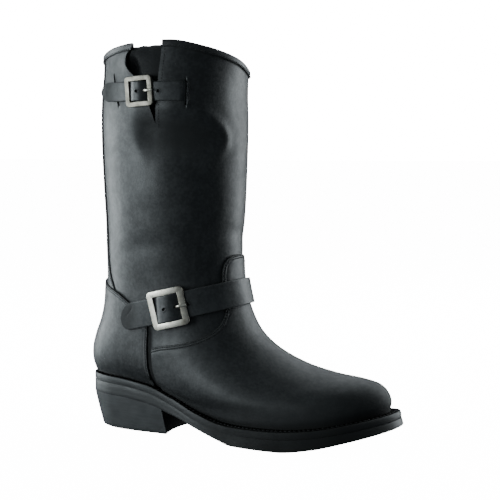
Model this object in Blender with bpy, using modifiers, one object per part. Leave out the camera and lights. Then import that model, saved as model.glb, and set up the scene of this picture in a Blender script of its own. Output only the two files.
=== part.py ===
"""Biker boot of the engineer pattern, right foot, standing empty on its sole.

+X runs to the toe, +Y to the inner side, -Y to the outer side with the buckles, +Z up.
The origin lies on the floor under the heel. Tables are in millimetres, the model in metres.
An angle goes round the leg: 0 at the front, 90 at the outer side, -90 at the inner side, 180 at the back.
"""
from collections import namedtuple

import bmesh
import bpy
import numpy as np
from mathutils import Matrix, Vector

MM = 0.001
GAP = 0.3

# Leather thicknesses
WALL = 2.2
OVERLAY = 1.8
STRAP = 2.2
GUSSET = 1.2

# Sole
HEEL_LEDGE = 4.8
TOE_LEDGE = 10.6
MIDSOLE = 6.5
INSOLE = 2.8
HEEL_BREAST_TOP = 51.0
HEEL_BREAST_FLOOR = 54.0
HEEL_BREAST_HOLLOW = 5.0
HEEL_TAPER_BACK = 8.0
HEEL_TAPER_SIDE = 4.5

Edge = namedtuple("Edge", "x y")
Level = namedtuple("Level", "x top bottom")
Ring = namedtuple("Ring", "front_x front_z back_x back_z half_width foot_share sag_share collar_share")
Rim = namedtuple("Rim", "angle rise")
Mark = namedtuple("Mark", "angle z")

# Plan of the sole from the back of the heel, along the outer side, round the toe, back on the inner side
OUTLINE = (
    Edge(-37.3, 0.0),
    Edge(-30.4, -21.5),
    Edge(-11.8, -35.0),
    Edge(19.6, -38.8),
    Edge(60.8, -40.5),
    Edge(103.0, -47.5),
    Edge(142.3, -57.0),
    Edge(178.6, -58.5),
    Edge(215.9, -49.4),
    Edge(245.3, -31.0),
    Edge(261.0, -8.6),
    Edge(265.0, 10.7),
    Edge(261.0, 27.4),
    Edge(245.3, 44.5),
    Edge(217.8, 55.3),
    Edge(184.5, 57.0),
    Edge(147.2, 47.0),
    Edge(107.9, 36.0),
    Edge(63.8, 32.5),
    Edge(19.6, 36.5),
    Edge(-11.8, 34.0),
    Edge(-30.4, 21.0),
)

# Side view of the sole: heel seat, waist, flat of the ball, toe spring
SOLE = (
    Level(-40, 51.9, 33.7),
    Level(0, 50.4, 32.7),
    Level(34, 45.8, 28.7),
    Level(62, 35.8, 20.1),
    Level(90, 25.8, 10.1),
    Level(116, 20.2, 2.6),
    Level(130, 19.2, 0.0),
    Level(150, 18.7, 0.0),
    Level(176, 18.8, 0.0),
    Level(206, 20.9, 3.5),
    Level(236, 26.2, 10.5),
    Level(268, 32.8, 18.6),
)

# Rings of the upper from the collar down to the feather line
RINGS = (
    Ring(117.0, 347.0, -26.0, 347.0, 62.0, 0.0, 0.0, 1.0),
    Ring(116.5, 300.0, -26.2, 300.0, 62.0, 0.0, 0.0, 0.45),
    Ring(113.5, 250.0, -25.6, 250.0, 60.0, 0.0, 0.0, 0.1),
    Ring(111.0, 210.0, -24.5, 210.0, 57.0, 0.0, 0.0, 0.0),
    Ring(109.3, 180.0, -23.5, 174.0, 54.0, 0.0, 0.0, 0.0),
    Ring(110.5, 154.0, -23.8, 147.0, 51.0, 0.03, 0.05, 0.0),
    Ring(114.5, 130.0, -25.6, 122.0, 49.5, 0.12, 0.2, 0.0),
    Ring(120.5, 111.5, -29.6, 103.0, 49.5, 0.25, 0.4, 0.0),
    Ring(131.0, 94.2, -34.2, 89.0, 51.0, 0.37, 0.58, 0.0),
    Ring(150.3, 79.2, -37.0, 77.5, 53.0, 0.47, 0.73, 0.0),
    Ring(177.5, 67.4, -37.5, 69.0, 55.5, 0.56, 0.83, 0.0),
    Ring(206.0, 60.7, -36.8, 62.5, 57.0, 0.63, 0.90, 0.0),
    Ring(231.5, 57.3, -35.6, 58.0, 58.0, 0.69, 0.95, 0.0),
    Ring(246.6, 53.0, -34.4, 55.0, 57.0, 0.75, 0.98, 0.0),
    Ring(253.8, 43.6, -33.4, 53.3, 55.0, 0.84, 1.0, 0.0),
    Ring(254.4, 30.5, -32.5, 52.2, 52.0, 1.0, 1.0, 0.0),
)

# Rise and fall of the collar round the leg
COLLAR = (
    Rim(-180, 0.0),
    Rim(-140, -6.0),
    Rim(-90, -9.5),
    Rim(-29, -10.5),
    Rim(11, 0.0),
    Rim(41, 7.0),
    Rim(69, 11.5),
    Rim(94, 10.0),
    Rim(151, 3.5),
    Rim(180, 0.0),
)

# Upper edge of the vamp on the outer side, from beside the instep tab back to the counter
VAMP_EDGE = (
    Mark(24.0, 127.0),
    Mark(27.8, 117.7),
    Mark(30.5, 112.4),
    Mark(34.8, 106.8),
    Mark(40.0, 102.1),
    Mark(52.8, 94.3),
    Mark(80.0, 86.0),
    Mark(93.0, 84.0),
)
VAMP_END_GAP = 0.4

# Front view of the instep tab: half width at each height
Tab = namedtuple("Tab", "half_width z")
INSTEP_TAB = (
    Tab(22.0, 100.0),
    Tab(21.0, 151.0),
    Tab(19.3, 160.0),
    Tab(15.5, 165.5),
    Tab(9.0, 168.0),
)
TAB_REAR_X = 80.0

# Top edge of the counter from the back to its front corner, then its front edge down to the sole
COUNTER_TOP = (
    Mark(164.0, 141.5),
    Mark(132.0, 135.3),
    Mark(119.0, 130.6),
    Mark(107.0, 122.6),
    Mark(100.0, 113.8),
    Mark(93.6, 103.4),
)
COUNTER_BACK_Z = 143.0
Side = namedtuple("Side", "x z")
COUNTER_FRONT = (
    Side(39.6, 92.0),
    Side(39.1, 78.0),
    Side(39.5, 64.0),
    Side(41.0, 52.0),
    Side(42.6, 43.0),
)
OUTSIDE = 100.0

# Slit at the top of the outer side and the gusset behind it
SLIT_REAR_X = 33.5
SLIT_FRONT_X = 66.5
SLIT_POINT_X = 56.3
SLIT_POINT_Z = 288.5
SLIT_FRONT_ANGLE = 72.4
SLIT_REAR_ANGLE = 100.4
GUSSET_TOP_REAR = 106.0
GUSSET_TOP_FRONT = 67.0
GUSSET_LOW_REAR = 87.0
GUSSET_LOW_FRONT = 75.0
GUSSET_LOW_Z = 278.0

# Straps: each lies about a plane that rises towards the front
StrapPlan = namedtuple("StrapPlan", "width rise_at_origin slope tip_angle end_angle buckle_angle lift over_bar reach")
ANKLE = StrapPlan(25.0, 105.6, 0.244, 115.5, -112.0, 73.3, 2.9, 5.3, 9.9)
TOP = StrapPlan(17.6, 318.0, 0.0, 128.5, 56.7, 91.0, 0.4, 5.1, 7.8)

# Buckles: length along the strap, height across it
BucklePlan = namedtuple("BucklePlan", "length height bar thick corner inner_corner under rod roll")
ANKLE_BUCKLE = BucklePlan(33.5, 35.4, 4.6, 2.8, 5.0, 2.4, 4.9, 1.3, 0.0)
TOP_BUCKLE = BucklePlan(26.5, 26.8, 3.8, 2.6, 4.0, 2.2, 2.7, 1.2, 4.0)
PRONG_WIDTH = 3.2
PRONG_THICK = 1.8

ROUND_COLUMNS = 40
SHAFT_ROWS = np.linspace(0.0, 4.0, 6)
FOOT_ROWS = np.linspace(4.55, 15.0, 20)
LAST = len(RINGS) - 1.0


def clear_scene():
    """Remove what the scene already holds."""
    for thing in list(bpy.data.objects):
        bpy.data.objects.remove(thing, do_unlink=True)


def ease(t):
    """Smooth step from 0 to 1."""
    t = np.clip(t, 0.0, 1.0)
    return t * t * (3.0 - 2.0 * t)


def table_curve(xs, ys, x):
    """Smooth curve through a table that never overshoots its rows."""
    xs = np.asarray(xs, float)
    ys = np.asarray(ys, float)
    x = np.clip(np.asarray(x, float), xs[0], xs[-1])
    rise = np.diff(ys) / np.diff(xs)
    before, after = rise[:-1], rise[1:]
    same = before * after > 0.0
    slope = np.empty(len(xs))
    slope[0], slope[-1] = rise[0], rise[-1]
    slope[1:-1] = np.where(same, 2.0 * before * after / np.where(same, before + after, 1.0), 0.0)
    i = np.clip(np.searchsorted(xs, x) - 1, 0, len(xs) - 2)
    h = xs[i + 1] - xs[i]
    t = (x - xs[i]) / h
    start = (2 * t**3 - 3 * t**2 + 1) * ys[i] + (t**3 - 2 * t**2 + t) * h * slope[i]
    return start + (3 * t**2 - 2 * t**3) * ys[i + 1] + (t**3 - t**2) * h * slope[i + 1]


def through_rows(rows, v):
    """Spline through the rows of a table at the places v."""
    rows = np.asarray(rows, float)
    v = np.asarray(v, float)
    i = np.clip(np.floor(v).astype(int), 0, len(rows) - 2)
    t = (v - i)[..., None]
    ext = np.vstack([2 * rows[0] - rows[1], rows, 2 * rows[-1] - rows[-2]])
    a, b, c, d = ext[i], ext[i + 1], ext[i + 2], ext[i + 3]
    return 0.5 * (2 * b + (c - a) * t + (2 * a - 5 * b + 4 * c - d) * t**2 + (3 * b - a - 3 * c + d) * t**3)


def closed_curve(points, steps):
    """Even-handed closed spline through plan points."""
    pts = np.asarray(points, float)
    out = []
    for i in range(len(pts)):
        p = [pts[(i + k - 1) % len(pts)] for k in range(4)]
        knot = [0.0]
        for k in range(3):
            knot.append(knot[-1] + np.linalg.norm(p[k + 1] - p[k]) ** 0.5)
        for t in np.linspace(knot[1], knot[2], steps, endpoint=False):
            q = p
            for lows, highs in (((0, 1, 2), (1, 2, 3)), ((0, 1), (2, 3)), ((1,), (2,))):
                q = [
                    (q[k] * (knot[hi] - t) + q[k + 1] * (t - knot[lo])) / (knot[hi] - knot[lo])
                    for k, (lo, hi) in enumerate(zip(lows, highs))
                ]
            out.append(q[0])
    return np.array(out)


def sole_top(x):
    """Height of the midsole's top face."""
    return table_curve([r.x for r in SOLE], [r.top for r in SOLE], x)


def sole_bottom(x):
    """Height of the outsole's tread."""
    return table_curve([r.x for r in SOLE], [r.bottom for r in SOLE], x)


def ledge(x):
    """How far the sole stands out from the upper's feather line."""
    return HEEL_LEDGE + (TOE_LEDGE - HEEL_LEDGE) * ease((x - 40.0) / 90.0)


def heel_taper(x):
    """How far the heel's foot stands in from the sole's edge."""
    return HEEL_TAPER_BACK + (HEEL_TAPER_SIDE - HEEL_TAPER_BACK) * ease((x + 37.0) / 60.0)


class Plan:
    """A closed plan curve read by the angle of its place between toe and heel."""

    def __init__(self, amount):
        base = closed_curve(OUTLINE, 24)
        run = np.roll(base, -1, 0) - np.roll(base, 1, 0)
        run /= np.linalg.norm(run, axis=1)[:, None]
        inward = np.stack([-run[:, 1], run[:, 0]], 1)
        pts = base + inward * np.broadcast_to(amount(base[:, 0]), len(base))[:, None]
        self.back, self.front = pts[:, 0].min(), pts[:, 0].max()
        toe = int(pts[:, 0].argmax())
        outer, inner = pts[: toe + 1][::-1], np.vstack([pts[toe:], pts[:1]])
        self.sides = [self.by_angle(side) for side in (outer, inner)]

    def by_angle(self, side):
        """Table of angle and y for one side, from the toe to the heel."""
        along = 2.0 * (side[:, 0] - self.back) / (self.front - self.back) - 1.0
        return np.maximum.accumulate(np.arccos(np.clip(along, -1.0, 1.0))), side[:, 1]

    def x(self, angle):
        """Place along the foot."""
        return self.back + (self.front - self.back) * (1.0 + np.cos(angle)) / 2.0

    def y(self, angle):
        """Place across the foot."""
        size = np.abs(angle)
        outer, inner = self.sides
        return np.where(angle >= 0.0, np.interp(size, *outer), np.interp(size, *inner))

    def y_at(self, x, outer):
        """Place across the foot of one side at a given x."""
        along = 2.0 * (np.asarray(x, float) - self.back) / (self.front - self.back) - 1.0
        return np.interp(np.arccos(np.clip(along, -1.0, 1.0)), *self.sides[0 if outer else 1])


EDGE_PLAN = Plan(lambda x: 0.0 * x)
FEATHER = Plan(ledge)


def collar_rise(angle):
    """Rise of the collar at an angle in radians."""
    first = np.array(COLLAR, float)
    turn = np.array([360.0, 0.0])
    rows = np.vstack([first[:-1] - turn, first, first[1:] + turn])
    return table_curve(rows[:, 0], rows[:, 1], np.degrees(angle))


def ring_point(v, angle):
    """Point of the upper's outer face on ring v at an angle in radians."""
    v, angle = np.broadcast_arrays(np.asarray(v, float), np.asarray(angle, float))
    angle = (angle + np.pi) % (2.0 * np.pi) - np.pi
    ring = Ring(*np.moveaxis(through_rows(RINGS, v), -1, 0))
    along = (1.0 + np.cos(angle)) / 2.0
    x = ring.back_x + (ring.front_x - ring.back_x) * along
    y = ring.foot_share * FEATHER.y(angle) - (1.0 - ring.foot_share) * ring.half_width * np.sin(angle)
    heel, toe = sole_top(FEATHER.back), sole_top(FEATHER.front)
    sag = sole_top(FEATHER.x(angle)) - heel - (toe - heel) * along
    z = ring.back_z + (ring.front_z - ring.back_z) * along
    return np.stack([x, y, z + ring.sag_share * sag + ring.collar_share * collar_rise(angle)], -1)


def unit(vectors):
    """Vectors at length one."""
    return vectors / np.linalg.norm(vectors, axis=-1)[..., None]


def skin_frame(v, angle):
    """Outward normal and upward direction of the upper's face."""
    step = 0.004
    round_leg = ring_point(v, angle + step) - ring_point(v, angle - step)
    low, high = np.clip(v - step, 0.0, LAST), np.clip(v + step, 0.0, LAST)
    down = ring_point(high, angle) - ring_point(low, angle)
    return unit(np.cross(round_leg, down)), -unit(down)


def skin(v, angle, lift=0.0):
    """Point at a height above the upper's outer face."""
    v, angle = np.broadcast_arrays(np.asarray(v, float), np.asarray(angle, float))
    out, _ = skin_frame(v, angle)
    return ring_point(v, angle) + out * np.broadcast_to(lift, v.shape)[..., None]


def ring_where(angle, level):
    """Ring at which the face's level(point) falls to zero, going down at an angle."""
    low, high = np.zeros(np.shape(angle)), np.full(np.shape(angle), LAST)
    for _ in range(40):
        mid = (low + high) / 2.0
        above = level(ring_point(mid, angle)) > 0.0
        low, high = np.where(above, mid, low), np.where(above, high, mid)
    return (low + high) / 2.0


def ring_at_height(angle, z):
    """Ring that passes a height at an angle."""
    return ring_where(angle, lambda p: p[..., 2] - z)


def overlay_foot(angle):
    """Lowest ring at which an overlay still clears the sole."""
    low, high = np.full(np.shape(angle), LAST - 3.0), np.full(np.shape(angle), LAST)
    for _ in range(30):
        mid = (low + high) / 2.0
        edge = skin(mid, angle, GAP + OVERLAY)
        clear = edge[..., 2] > sole_top(edge[..., 0]) + 2.0 * GAP
        low, high = np.where(clear, mid, low), np.where(clear, high, mid)
    return low


MATERIALS = {
    "shaft_leather": ((0.020, 0.021, 0.022), 0.52, 0.0),
    "vamp_leather": ((0.020, 0.021, 0.022), 0.48, 0.0),
    "counter_leather": ((0.020, 0.021, 0.022), 0.50, 0.0),
    "gusset_leather": ((0.018, 0.019, 0.020), 0.55, 0.0),
    "binding_leather": ((0.022, 0.023, 0.024), 0.50, 0.0),
    "strap_leather": ((0.020, 0.021, 0.022), 0.48, 0.0),
    "buckle_metal": ((0.60, 0.57, 0.51), 0.34, 1.0),
    "insole_leather": ((0.45, 0.30, 0.18), 0.70, 0.0),
    "midsole_rubber": ((0.030, 0.031, 0.033), 0.55, 0.0),
    "outsole_rubber": ((0.022, 0.023, 0.024), 0.60, 0.0),
    "heel_rubber": ((0.024, 0.025, 0.026), 0.52, 0.0),
}


def material(name):
    """Principled material of the list above."""
    found = bpy.data.materials.get(name)
    if found:
        return found
    colour, rough, metal = MATERIALS[name]
    made = bpy.data.materials.new(name)
    made.use_nodes = True
    shader = made.node_tree.nodes["Principled BSDF"]
    shader.inputs["Base Color"].default_value = (*colour, 1.0)
    shader.inputs["Roughness"].default_value = rough
    shader.inputs["Metallic"].default_value = metal
    return made


def collection(name, parent=None):
    """New collection under the scene or another collection."""
    made = bpy.data.collections.new(name)
    (parent or bpy.context.scene.collection).children.link(made)
    return made


def add_object(name, mesh, home, finish=None):
    """Object from a mesh, in a collection, with its material."""
    made = bpy.data.objects.new(name, mesh)
    home.objects.link(made)
    if finish:
        mesh.materials.append(material(finish))
    return made


def solid(name, points, faces, home, finish):
    """Closed solid from millimetre points and faces, with outward faces."""
    mesh = bpy.data.meshes.new(name)
    mesh.from_pydata([tuple(p * MM) for p in np.asarray(points)], [], faces)
    bm = bmesh.new()
    bm.from_mesh(mesh)
    bmesh.ops.remove_doubles(bm, verts=bm.verts, dist=0.00002)
    bmesh.ops.dissolve_degenerate(bm, edges=bm.edges, dist=0.00001)
    bmesh.ops.recalc_face_normals(bm, faces=bm.faces)
    if bm.calc_volume(signed=True) < 0.0:
        bmesh.ops.reverse_faces(bm, faces=bm.faces)
    bm.to_mesh(mesh)
    bm.free()
    return add_object(name, mesh, home, finish)


def shell_faces(rows, cols, round_closed):
    """Faces of a closed shell: outer and inner grids split along one diagonal, and the rims between them."""
    faces = []
    half = rows * cols
    last = cols if round_closed else cols - 1
    for i in range(rows - 1):
        for j in range(last):
            k = (j + 1) % cols
            a, b, c, d = i * cols + j, i * cols + k, (i + 1) * cols + k, (i + 1) * cols + j
            faces += [(a, b, c), (a, c, d)]
            faces += [(half + c, half + b, half + a), (half + d, half + c, half + a)]
    for i in (0, rows - 1):
        for j in range(last):
            k = (j + 1) % cols
            faces.append((i * cols + j, i * cols + k, half + i * cols + k, half + i * cols + j))
    if not round_closed:
        for j in (0, cols - 1):
            for i in range(rows - 1):
                a, b = i * cols + j, (i + 1) * cols + j
                faces.append((a, b, half + b, half + a))
    return faces


def shell(name, v, angle, outer_lift, inner_lift, home, finish, round_closed=False):
    """Sheet of leather between two heights over the upper's face."""
    points = np.vstack([skin(v, angle, outer_lift).reshape(-1, 3), skin(v, angle, inner_lift).reshape(-1, 3)])
    return solid(name, points, shell_faces(*v.shape, round_closed), home, finish)


def sweep_faces(stations, ring_size):
    """Faces of a sweep with flat ends."""
    faces = [tuple(range(ring_size)), tuple((stations - 1) * ring_size + k for k in reversed(range(ring_size)))]
    for i in range(stations - 1):
        for j in range(ring_size):
            k = (j + 1) % ring_size
            a, b = i * ring_size, (i + 1) * ring_size
            faces.append((a + j, b + j, b + k, a + k))
    return faces


def strip_solid(name, outer, inner, heights, home, finish):
    """Plate between two side lines of stations; heights give (top, bottom) at each x."""
    count = len(outer)
    points = []
    for line in (outer, inner):
        for part in (0, 1):
            points += [np.array([x, y, heights(x)[part]]) for x, y in line]
    ot, ob, it, ib = (np.arange(count) + k * count for k in range(4))
    faces = []
    for i in range(count - 1):
        j = i + 1
        faces += [(ot[i], ot[j], it[j], it[i]), (ob[i], ib[i], ib[j], ob[j])]
        faces += [(ot[i], ob[i], ob[j], ot[j]), (it[i], it[j], ib[j], ib[i])]
    return solid(name, points, [tuple(int(k) for k in f) for f in faces], home, finish)


def apply_boolean(thing, cutter, operation):
    """Exact cut or join, made at once so that the cutter may differ for each piece."""
    step = thing.modifiers.new(operation.lower(), "BOOLEAN")
    step.operation = operation
    step.solver = "EXACT"
    step.object = cutter
    graph = bpy.context.evaluated_depsgraph_get()
    made = bpy.data.meshes.new_from_object(thing.evaluated_get(graph), depsgraph=graph)
    thing.modifiers.clear()
    thing.data = made


def keep_cutter(thing):
    """Show a cutter as wires only."""
    thing.hide_render = True
    thing.display_type = "WIRE"
    return thing


def block(name, size, home, finish=None, corner=0.0, steps=3, place=None):
    """Rounded block in millimetres: a cube with its upright edges bevelled."""
    bm = bmesh.new()
    bmesh.ops.create_cube(bm, size=1.0, matrix=Matrix.Diagonal((*(Vector(size) * MM), 1.0)))
    if corner:
        upright = [e for e in bm.edges if abs(e.verts[0].co.z - e.verts[1].co.z) > 1e-6]
        bmesh.ops.bevel(bm, geom=upright, offset=corner * MM, segments=steps, profile=0.5, affect="EDGES")
    if place:
        bm.transform(place)
    mesh = bpy.data.meshes.new(name)
    bm.to_mesh(mesh)
    bm.free()
    return add_object(name, mesh, home, finish)


def rod(name, radius, length, home, finish=None, sides=16, place=None):
    """Round bar in millimetres, along its own Y."""
    bm = bmesh.new()
    turn = Matrix.Rotation(np.pi / 2.0, 4, "X")
    bmesh.ops.create_cone(
        bm,
        cap_ends=True,
        segments=sides,
        radius1=radius * MM,
        radius2=radius * MM,
        depth=length * MM,
        matrix=(place or Matrix()) @ turn,
    )
    mesh = bpy.data.meshes.new(name)
    bm.to_mesh(mesh)
    bm.free()
    return add_object(name, mesh, home, finish)


def upper_grid():
    """Rings and angles at which the upper and its overlays are drawn."""
    return np.meshgrid(
        np.concatenate([SHAFT_ROWS, FOOT_ROWS]),
        np.linspace(-np.pi, np.pi, ROUND_COLUMNS, endpoint=False),
        indexing="ij",
    )


def upper(home, cutters):
    """The hollow upper with its slit for the gusset."""
    v, angle = upper_grid()
    made = shell("upper", v, angle, 0.0, -WALL, home, "shaft_leather", round_closed=True)
    wedge = [(SLIT_REAR_X, 372.0), (SLIT_FRONT_X, 372.0), (SLIT_POINT_X, SLIT_POINT_Z)]
    points = [np.array([x, y, z]) for y in (-95.0, -30.0) for x, z in wedge]
    faces = [(0, 1, 2), (3, 5, 4), (0, 3, 4, 1), (1, 4, 5, 2), (2, 5, 3, 0)]
    cutter = keep_cutter(solid("slit_cutter", points, faces, cutters, None))
    apply_boolean(made, cutter, "DIFFERENCE")
    return made


def gusset(home):
    """Soft wedge behind the slit, dropped back near the binding."""
    across = np.linspace(0.0, 1.0, 7)
    down = np.linspace(0.0, 1.0, 8)
    d, a = np.meshgrid(down, across, indexing="ij")
    rear = GUSSET_TOP_REAR + (GUSSET_LOW_REAR - GUSSET_TOP_REAR) * d
    front = GUSSET_TOP_FRONT + (GUSSET_LOW_FRONT - GUSSET_TOP_FRONT) * d
    angle = np.radians(rear + (front - rear) * a)
    top = ring_point(np.full(angle.shape, 0.02), angle)[..., 2]
    v = ring_at_height(angle, top + (GUSSET_LOW_Z - top) * d)
    back = WALL + 2.0 * GAP + 1.7 * (1.0 - ease(d / 0.22))
    return shell("gusset", v, angle, -back, -back - GUSSET, home, "gusset_leather")


def collar_binding(home):
    """Strip folded over the top edge from one side of the slit round to the other."""
    leg = 1.2
    drop = -4.2
    outside = GAP + leg
    inside = -WALL - GAP - leg
    profile = (
        (GAP, drop),
        (outside, drop),
        (outside + 0.1, 0.7),
        (-0.3, 1.9),
        (-WALL + 0.3, 1.9),
        (inside - 0.1, 0.7),
        (inside, drop),
        (-WALL - GAP, drop),
        (-WALL - GAP, GAP),
        (GAP, GAP),
    )
    angle = np.radians(np.linspace(SLIT_FRONT_ANGLE, SLIT_REAR_ANGLE - 360.0, 34))
    v = np.zeros(len(angle))
    out, up = skin_frame(v, angle)
    base = ring_point(v, angle)
    points = [b + n * o + u * h for b, n, u in zip(base, out, up) for o, h in profile]
    return solid("collar_binding", points, sweep_faces(len(angle), len(profile)), home, "binding_leather")


def overlay(name, cutter, home, finish):
    """Leather lapped over the upper: a sheet just off its face, cut by an outline."""
    v, angle = upper_grid()
    v = np.minimum(v, overlay_foot(angle[0])[None])
    made = shell(name, v, angle, GAP + OVERLAY, GAP, home, finish, round_closed=True)
    apply_boolean(made, cutter, "INTERSECT")
    return made


def prism(name, outline, place, ends, home):
    """Straight prism over an outline; place turns (first, second, end) into x, y and z."""
    count = len(outline)
    points = [place(a, b, end) for end in ends for a, b in outline]
    faces = [tuple(range(count)), tuple(range(2 * count - 1, count - 1, -1))]
    for i in range(count):
        j = (i + 1) % count
        faces.append((i, j, count + j, count + i))
    return keep_cutter(solid(name, points, faces, home, None))


def side_view(marks):
    """Places of marks in the side view."""
    angle = np.radians([m.angle for m in marks])
    spots = skin(ring_at_height(angle, np.array([m.z for m in marks])), angle)
    return [(p[0], p[2]) for p in spots]


def vamp(home, cutters):
    """Vamp: the foot in front of the counter and below its edge, with the instep tab."""
    edge = side_view(VAMP_EDGE)
    rear = [(r.x + VAMP_END_GAP, r.z) for r in COUNTER_FRONT if r.z < edge[-1][1]]
    low = [(rear[-1][0], 5.0), (300.0, 5.0), (300.0, edge[0][1])]
    outline = edge + [(rear[0][0], edge[-1][1])] + rear + low
    foot = prism("vamp_outline", outline, lambda x, z, y: (x, y, z), (-OUTSIDE, OUTSIDE), cutters)
    half = [(t.half_width, t.z) for t in INSTEP_TAB]
    front = half + [(-w, z) for w, z in reversed(half)]
    tab = prism("tab_outline", front, lambda y, z, x: (x, y, z), (TAB_REAR_X, 301.0), cutters)
    apply_boolean(foot, tab, "UNION")
    return overlay("vamp", foot, home, "vamp_leather")


def counter(home, cutters):
    """Counter round the heel, behind its front edge and below its top edge."""
    top = [(-OUTSIDE, COUNTER_BACK_Z)] + side_view(COUNTER_TOP)
    front = [tuple(r) for r in COUNTER_FRONT]
    outline = top + front + [(front[-1][0], 5.0), (-OUTSIDE, 5.0)]
    shape = prism("counter_outline", outline, lambda x, z, y: (x, y, z), (-OUTSIDE, OUTSIDE), cutters)
    return overlay("counter", shape, home, "counter_leather")


class StrapLine:
    """Centre line of a strap on the upper, with the frame of its buckle."""

    def __init__(self, plan):
        self.plan = plan
        self.tilt = (1.0 + plan.slope**2) ** 0.5
        fine = np.radians(np.linspace(plan.tip_angle, plan.end_angle, 400))
        line = self.on_skin(fine, 0.0)
        run = np.concatenate([[0.0], np.cumsum(np.linalg.norm(np.diff(line, axis=0), axis=1))])
        self.fine, self.run = fine, run
        self.zero = np.interp(-np.radians(plan.buckle_angle), -fine, run)
        self.length = run[-1]

    def rings(self, angle, aside):
        """Rings on a line parallel to the centre line."""
        plan, tilt = self.plan, self.tilt
        return ring_where(
            angle,
            lambda p: p[..., 2] - plan.rise_at_origin - plan.slope * p[..., 0] - aside * tilt,
        )

    def on_skin(self, angle, aside, lift=0.0):
        """Points beside the centre line at a height over the upper."""
        return skin(self.rings(angle, aside), angle, lift)

    def angle_at(self, run):
        """Angle at a length from the tip."""
        return np.interp(run, self.run, self.fine)

    def lift(self, run):
        """Height of the strap's under face: it rises over the buckle's bar."""
        from_bar = np.clip(np.abs(run - self.zero) / self.plan.reach, 0.0, 1.0)
        return self.plan.lift + self.plan.over_bar * np.cos(from_bar * np.pi / 2.0) ** 2

    def half_width(self, run):
        """Half of the strap's width, rounded at the tip."""
        radius = self.plan.width / 2.0
        back = np.clip(radius - run, 0.0, radius * 0.985)
        return np.sqrt(radius**2 - back**2)

    def buckle_place(self, roll=0.0):
        """Matrix of the buckle, turned in its own plane: X along the strap, Y up across it, Z out."""
        angle = np.radians(np.array([self.plan.buckle_angle]))
        v = self.rings(angle, 0.0)
        out = Vector(skin_frame(v, angle)[0][0])
        ahead = self.on_skin(angle - 0.05, 0.0)[0] - self.on_skin(angle + 0.05, 0.0)[0]
        along = Vector(ahead)
        along = (along - out * along.dot(out)).normalized()
        across = out.cross(along)
        spot = Vector(ring_point(v, angle)[0] * MM)
        turn = Matrix.Rotation(np.radians(roll), 4, "Z")
        return Matrix.Translation(spot) @ Matrix((along, across, out)).transposed().to_4x4() @ turn


def strap(name, line, runs, home):
    """Strap swept along its line, three points across."""
    angle = line.angle_at(runs)
    half = line.half_width(runs)
    low = line.lift(runs)
    rings = []
    for height, order in ((0.0, (-1.0, 0.0, 1.0)), (STRAP, (1.0, 0.0, -1.0))):
        for side in order:
            rings.append(line.on_skin(angle, half * side, low + height))
    points = np.stack(rings, 1).reshape(-1, 3)
    return solid(name, points, sweep_faces(len(runs), 6), home, "strap_leather")


def slot_cut(piece, line, plan, cutters, name):
    """Slot in the strap for the prong's loop and tongue."""
    back = 3.9
    front = plan.length / 2.0 - plan.bar + 1.5
    place = line.buckle_place(plan.roll) @ Matrix.Translation(Vector(((front - back) / 2.0, 0.0, 6.0)) * MM)
    cutter = keep_cutter(block(name, (front + back, PRONG_WIDTH + 0.9, 14.0), cutters, place=place))
    apply_boolean(piece, cutter, "DIFFERENCE")


def buckle(name, line, plan, home, cutters):
    """Square frame with a rounded edge and its centre bar."""
    frame = block(name, (plan.length, plan.height, plan.thick), home, "buckle_metal", plan.corner)
    hole = (plan.length - 2.0 * plan.bar, plan.height - 2.0 * plan.bar, plan.thick * 3.0)
    cutter = keep_cutter(block(name + "_opening", hole, cutters, corner=plan.inner_corner))
    apply_boolean(frame, cutter, "DIFFERENCE")
    edge = frame.modifiers.new("edge", "BEVEL")
    edge.width = 0.7 * MM
    edge.segments = 1
    edge.limit_method = "ANGLE"
    edge.angle_limit = 0.9
    bar = keep_cutter(rod(name + "_bar", plan.rod, plan.height - plan.bar, cutters, sides=12))
    apply_boolean(frame, bar, "UNION")
    middle = Vector((0.0, 0.0, plan.under + plan.thick / 2.0)) * MM
    frame.data.transform(line.buckle_place(plan.roll) @ Matrix.Translation(middle))
    return frame


def prong(name, line, plan, home, cutters):
    """Prong: a loop on the centre bar and a tongue over the front bar."""
    middle = plan.under + plan.thick / 2.0
    loop_radius = plan.rod + GAP + 1.5
    tongue_low = plan.under + plan.thick + GAP
    reach = plan.length / 2.0 + 0.6
    loop = rod(name, loop_radius, PRONG_WIDTH, home, "buckle_metal", sides=14)
    eye = keep_cutter(rod(name + "_eye", plan.rod + GAP, PRONG_WIDTH * 2.0, cutters, sides=14))
    apply_boolean(loop, eye, "DIFFERENCE")
    rise = tongue_low + PRONG_THICK / 2.0 - middle
    place = Matrix.Translation(Vector((reach / 2.0 - 0.4, 0.0, rise)) * MM)
    size = (reach + 0.8, PRONG_WIDTH - 0.3, PRONG_THICK)
    tongue = keep_cutter(block(name + "_tongue", size, cutters, corner=1.1, steps=3, place=place))
    apply_boolean(loop, tongue, "UNION")
    loop.data.transform(line.buckle_place(plan.roll) @ Matrix.Translation((0.0, 0.0, middle * MM)))
    return loop


def side_lines(plan, stations):
    """Outer and inner plan lines of a plate from the toe to the heel."""
    angle = np.linspace(0.0, np.pi, stations)
    x = plan.x(angle)
    return np.stack([x, plan.y(angle)], 1), np.stack([x, plan.y(-angle + 1e-12 * (angle == 0.0))], 1)


def plate(name, plan, heights, home, finish):
    """Sole layer with curved top and bottom faces."""
    outer, inner = side_lines(plan, 39)
    middle = (outer[[0, -1]] + inner[[0, -1]]) / 2.0
    outer[[0, -1]] = middle
    inner[[0, -1]] = middle
    return strip_solid(name, outer, inner, heights, home, finish)


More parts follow.
